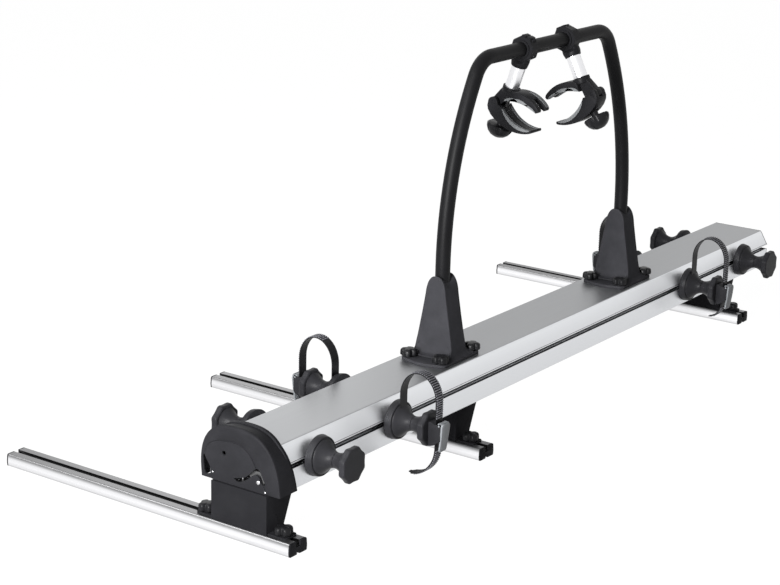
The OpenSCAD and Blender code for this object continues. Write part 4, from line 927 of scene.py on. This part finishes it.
tower = dict(places={"front": 610.4, "far": 1326.4}, beamTop=184.0, plate=6.0, dip=9.0, crest=170.0,
             dipOver=34.0, middle=85.0,
             outline=[(50, 6.2), (46.6, 8.4), (44.6, 12), (43.6, 17), (42, 32), (33, 81), (24.6, 128),
                      (22.6, 142), (19.5, 154), (14.5, 163), (8, 168.6), (0, 170)],
             depth=[(0, 46), (6.2, 46), (8.4, 40), (12, 33.5), (16, 29.5), (24, 26.5), (46, 24.6),
                    (90, 24), (136, 24), (170, 23)],
             edge=[(1.0, 3.2), (0.995, 1.4), (0.975, 0.5), (0.95, 0.0)],
             endWall=(0.985, 0.96, 0.93, 0.9, 0.86, 0.8, 0.7, 0.5, 0.3, 0.12),
             plateShape=[(-65, -53), (65, -53), (80, 0), (65, 53), (-65, 53), (-80, 0)],
             plateRound=(14, 14, 60, 14, 14, 60))


def towerDepth(z):
    # Half the size along X at a height, read between the rows of the table
    return np.interp(z, *np.array(tower["depth"]).T)


def makeTower(word):
    # Sections across the beam, each the same arch, set along X at s times the depth at their height.
    # The crest dips by dip (1 - s^2)^2 round the tube
    half = smoothLine(tower["outline"], 60)
    arch = np.vstack([half, (half * [-1, 1])[-2::-1]])
    z = arch[:, 1]
    middle = np.array([0, tower["middle"]])
    nearCrest = np.clip((z - tower["crest"] + tower["dipOver"]) / tower["dipOver"], 0, 1)
    sections = [(-s, inset) for s, inset in tower["edge"]]
    sections += [(s, 0.0) for s in np.linspace(-0.88, 0.88, 15)]
    rings = []
    for s, inset in sections + tower["edge"][::-1]:
        yz = (arch - middle) * (1 - inset / 60) + middle
        yz[:, 1] = np.maximum(yz[:, 1], z.min() - 0.7) - tower["dip"] * (1 - s * s) ** 2 * nearCrest
        rings.append(np.column_stack([s * towerDepth(z), yz]))
    # The end walls follow the same lean in to their middles
    walls = {}
    for s, last in ((-1, rings[0]), (1, rings[-1])):
        shrunk = [(last[:, 1:] - middle) * share + middle for share in tower["endWall"]]
        walls[s] = [np.column_stack([s * towerDepth(yz[:, 1]), yz]) for yz in shrunk]
    body = loft(walls[-1][::-1] + rings + walls[1])
    shape = roundedShape(tower["plateShape"], tower["plateRound"])
    inward = -shape / np.linalg.norm(shape, axis=1)[:, None]
    top = tower["plate"]
    plate = loft([np.column_stack([shape + inward * inset, np.full(len(shape), h)])
                  for inset, h in ((0.5, 0), (0, 0.5), (0, top - 1.6), (0.5, top - 0.5), (1.6, top),
                                   (20, top + 0.4))])
    lift = [tower["places"][word], 0, tower["beamTop"]]
    return makePiece("tower" + word.capitalize(), [(p + lift, f, 0) for p, f in (body, plate)],
                     ["tower_plastic"], "carriage", 38)


for word in tower["places"]:
    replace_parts(makeTower(word), f"tower_{word}")
print("towers made")

# Clamp knobs of the towers and of the rails' feet, with their bolts

clamp = dict(knobRadius=17.5, notch=5.5, shankRadius=9.0, shankHeight=2.2, knobHeight=14.4, gap=0.05,
             studRadius=4.0, studPast=8.0, nutRadius=7.0, nutLow=6.0, nutGap=0.1, beamWall=3.0,
             towerSpots=((-56, -38, 20), (56, -38, -25), (-56, 38, -25), (56, 38, 20)),
             rails=(0.0, 597.0, 1755.0), footSpot=88.0, footTurn=20, tabTop=27.85, slotFloor=15.8,
             teeHead=((-8, -7, 17.8), (8, 7, 21.3)), seatSpots=((12, -24), (12, 24), (44, -24), (44, 24)),
             seatRadius=3.0, seatHead=5.5, seatLow=95.6, seatHigh=102.1, seatPast=(2.0, 2.4),
             seatHeads=(5.0, 4.0))


def clampKnob(x, y, base, turn):
    # Radius = r - notch ((1 + cos 4a) / 2)^3: a round knob with four narrow notches
    r, s, shank = clamp["knobRadius"], clamp["shankHeight"], clamp["shankRadius"]
    h = s + clamp["knobHeight"]
    a = aroundCircle(96)
    notch = clamp["notch"] * ((1 + np.cos(4 * a)) / 2) ** 3
    # Height, radius and share of the notch
    z, radius, share = np.array([
        (0, shank, 0), (s, shank, 0), (s, r - 5, 0.5), (s + 0.5, r - 1.6, 0.9), (s + 1.4, r - 0.4, 1),
        (s + 3, r, 1), (h - 4.4, r - 0.5, 1), (h - 2.2, r - 1.6, 1), (h - 0.9, r - 3.8, 0.9),
        (h - 0.2, r - 7, 0.5), (h, r - 10, 0)]).T[..., None]
    reach = radius - notch * share
    points, faces = loft(np.stack([reach * np.cos(a), reach * np.sin(a), np.repeat(z, len(a), 1)], -1))
    place = Matrix.Translation((x, y, base)) @ Matrix.Rotation(math.radians(turn), 4, "Z")
    return moved(points, place), faces


def boltPart(x, y, low, high, radius, sides=24):
    # A bolt's shank, or a hexagon head or nut where sides is 6, with a small chamfer at both ends
    points, faces = turned([[0, low], [radius - 0.4, low], [radius, low + 0.4], [radius, high - 0.4],
                            [radius - 0.4, high], [0, high]], sides)
    return points + [x, y, 0], faces


def makeTowerClamps():
    # A knob on the tower's plate, its stud through the beam's top, and a hexagon nut under it
    parts = []
    plateTop, under = tower["beamTop"] + tower["plate"], tower["beamTop"] - clamp["beamWall"]
    for x0 in tower["places"].values():
        for dx, y, turn in clamp["towerSpots"]:
            x = x0 + dx
            parts.append((*clampKnob(x, y, plateTop + clamp["gap"], turn), 0))
            parts.append((*boltPart(x, y, under - clamp["studPast"], plateTop + 1, clamp["studRadius"]), 1))
            parts.append((*boltPart(x, y, under - clamp["nutLow"], under - clamp["nutGap"],
                                    clamp["nutRadius"], 6), 1))
    return makePiece("towerClamps", parts, ["knob_plastic", "zinc_steel"], "carriage", 35)


def makeFootClamps():
    # A knob and T-bolt on each foot tab, and the hexagon bolts through the brackets' seats
    parts = []
    low, high, gap, head, tab = (clamp[k] for k in ("seatLow", "seatHigh", "gap", "seatHead", "tabTop"))
    pastLow, pastHigh = clamp["seatPast"]
    nutEnd, headEnd = clamp["seatHeads"]
    for x0 in clamp["rails"]:
        for y in (-clamp["footSpot"], clamp["footSpot"]):
            parts.append((*clampKnob(x0, y, tab, clamp["footTurn"]), 0))
            parts.append((*boltPart(x0, y, clamp["slotFloor"], tab + 1, clamp["studRadius"]), 1))
            parts.append((*block(*(np.add(corner, (x0, y, 0)) for corner in clamp["teeHead"])), 1))
        for dx, y in clamp["seatSpots"]:
            x = x0 + dx
            parts.append((*boltPart(x, y, low - pastLow, high + pastHigh, clamp["seatRadius"]), 1))
            parts.append((*boltPart(x, y, high + gap, high + headEnd, head, 6), 1))
            parts.append((*boltPart(x, y, low - nutEnd, low - gap, head, 6), 1))
    return makePiece("footClamps", parts, ["knob_plastic", "zinc_steel"], "base", 35)


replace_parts(makeTowerClamps(), "tower_clamps")
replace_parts(makeFootClamps(), "bracket_fasteners")
print("clamp knobs made")

# CAD pieces given soft edges, with each bevel's width

soft = dict(merge=0.01, flat=1.0, sharp=32.0, segments=2)
softEdges = {"bracket_front": 1.5, "bracket_middle": 1.5, "bracket_far": 1.5, "rail_end_caps": 1.0,
             "end_plate": 0.8}
for word in sides:
    softEdges.update({f"upper_jaw_{word}": 1.4, f"lower_jaw_{word}": 1.4, f"claw_knob_{word}": 1.6})
for word in sides:
    softEdges.update({f"buckle_{word}_{i}": 1.4 for i in cradle["strapped"]})


def softCopy(node, width):
    # A merged copy of a CAD node with its sharp edges rounded
    piece = nodes[node].copy()
    piece.data = nodes[node].data.copy()
    piece.parent = None
    for key in list(piece.keys()):
        if key.startswith("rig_"):
            del piece[key]
    piece.name = "soft" + "".join(part.capitalize() for part in node.split("_"))
    bpy.context.scene.collection.objects.link(piece)
    merged = bmesh.new()
    merged.from_mesh(piece.data)
    bmesh.ops.remove_doubles(merged, verts=merged.verts, dist=soft["merge"] / 1000)
    bmesh.ops.dissolve_limit(merged, angle_limit=math.radians(soft["flat"]), verts=merged.verts,
                             edges=merged.edges)
    merged.to_mesh(piece.data)
    merged.free()
    bevel = piece.modifiers.new("edges", "BEVEL")
    bevel.width = width / 1000
    bevel.segments = soft["segments"]
    bevel.limit_method = "ANGLE"
    bevel.angle_limit = math.radians(soft["sharp"])
    bevel.use_clamp_overlap = True
    applyModifiers(piece, soft["sharp"])
    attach(piece, nodes[node]["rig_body"])
    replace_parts(piece, node)


for node, width in softEdges.items():
    softCopy(node, width)
print("edges softened")
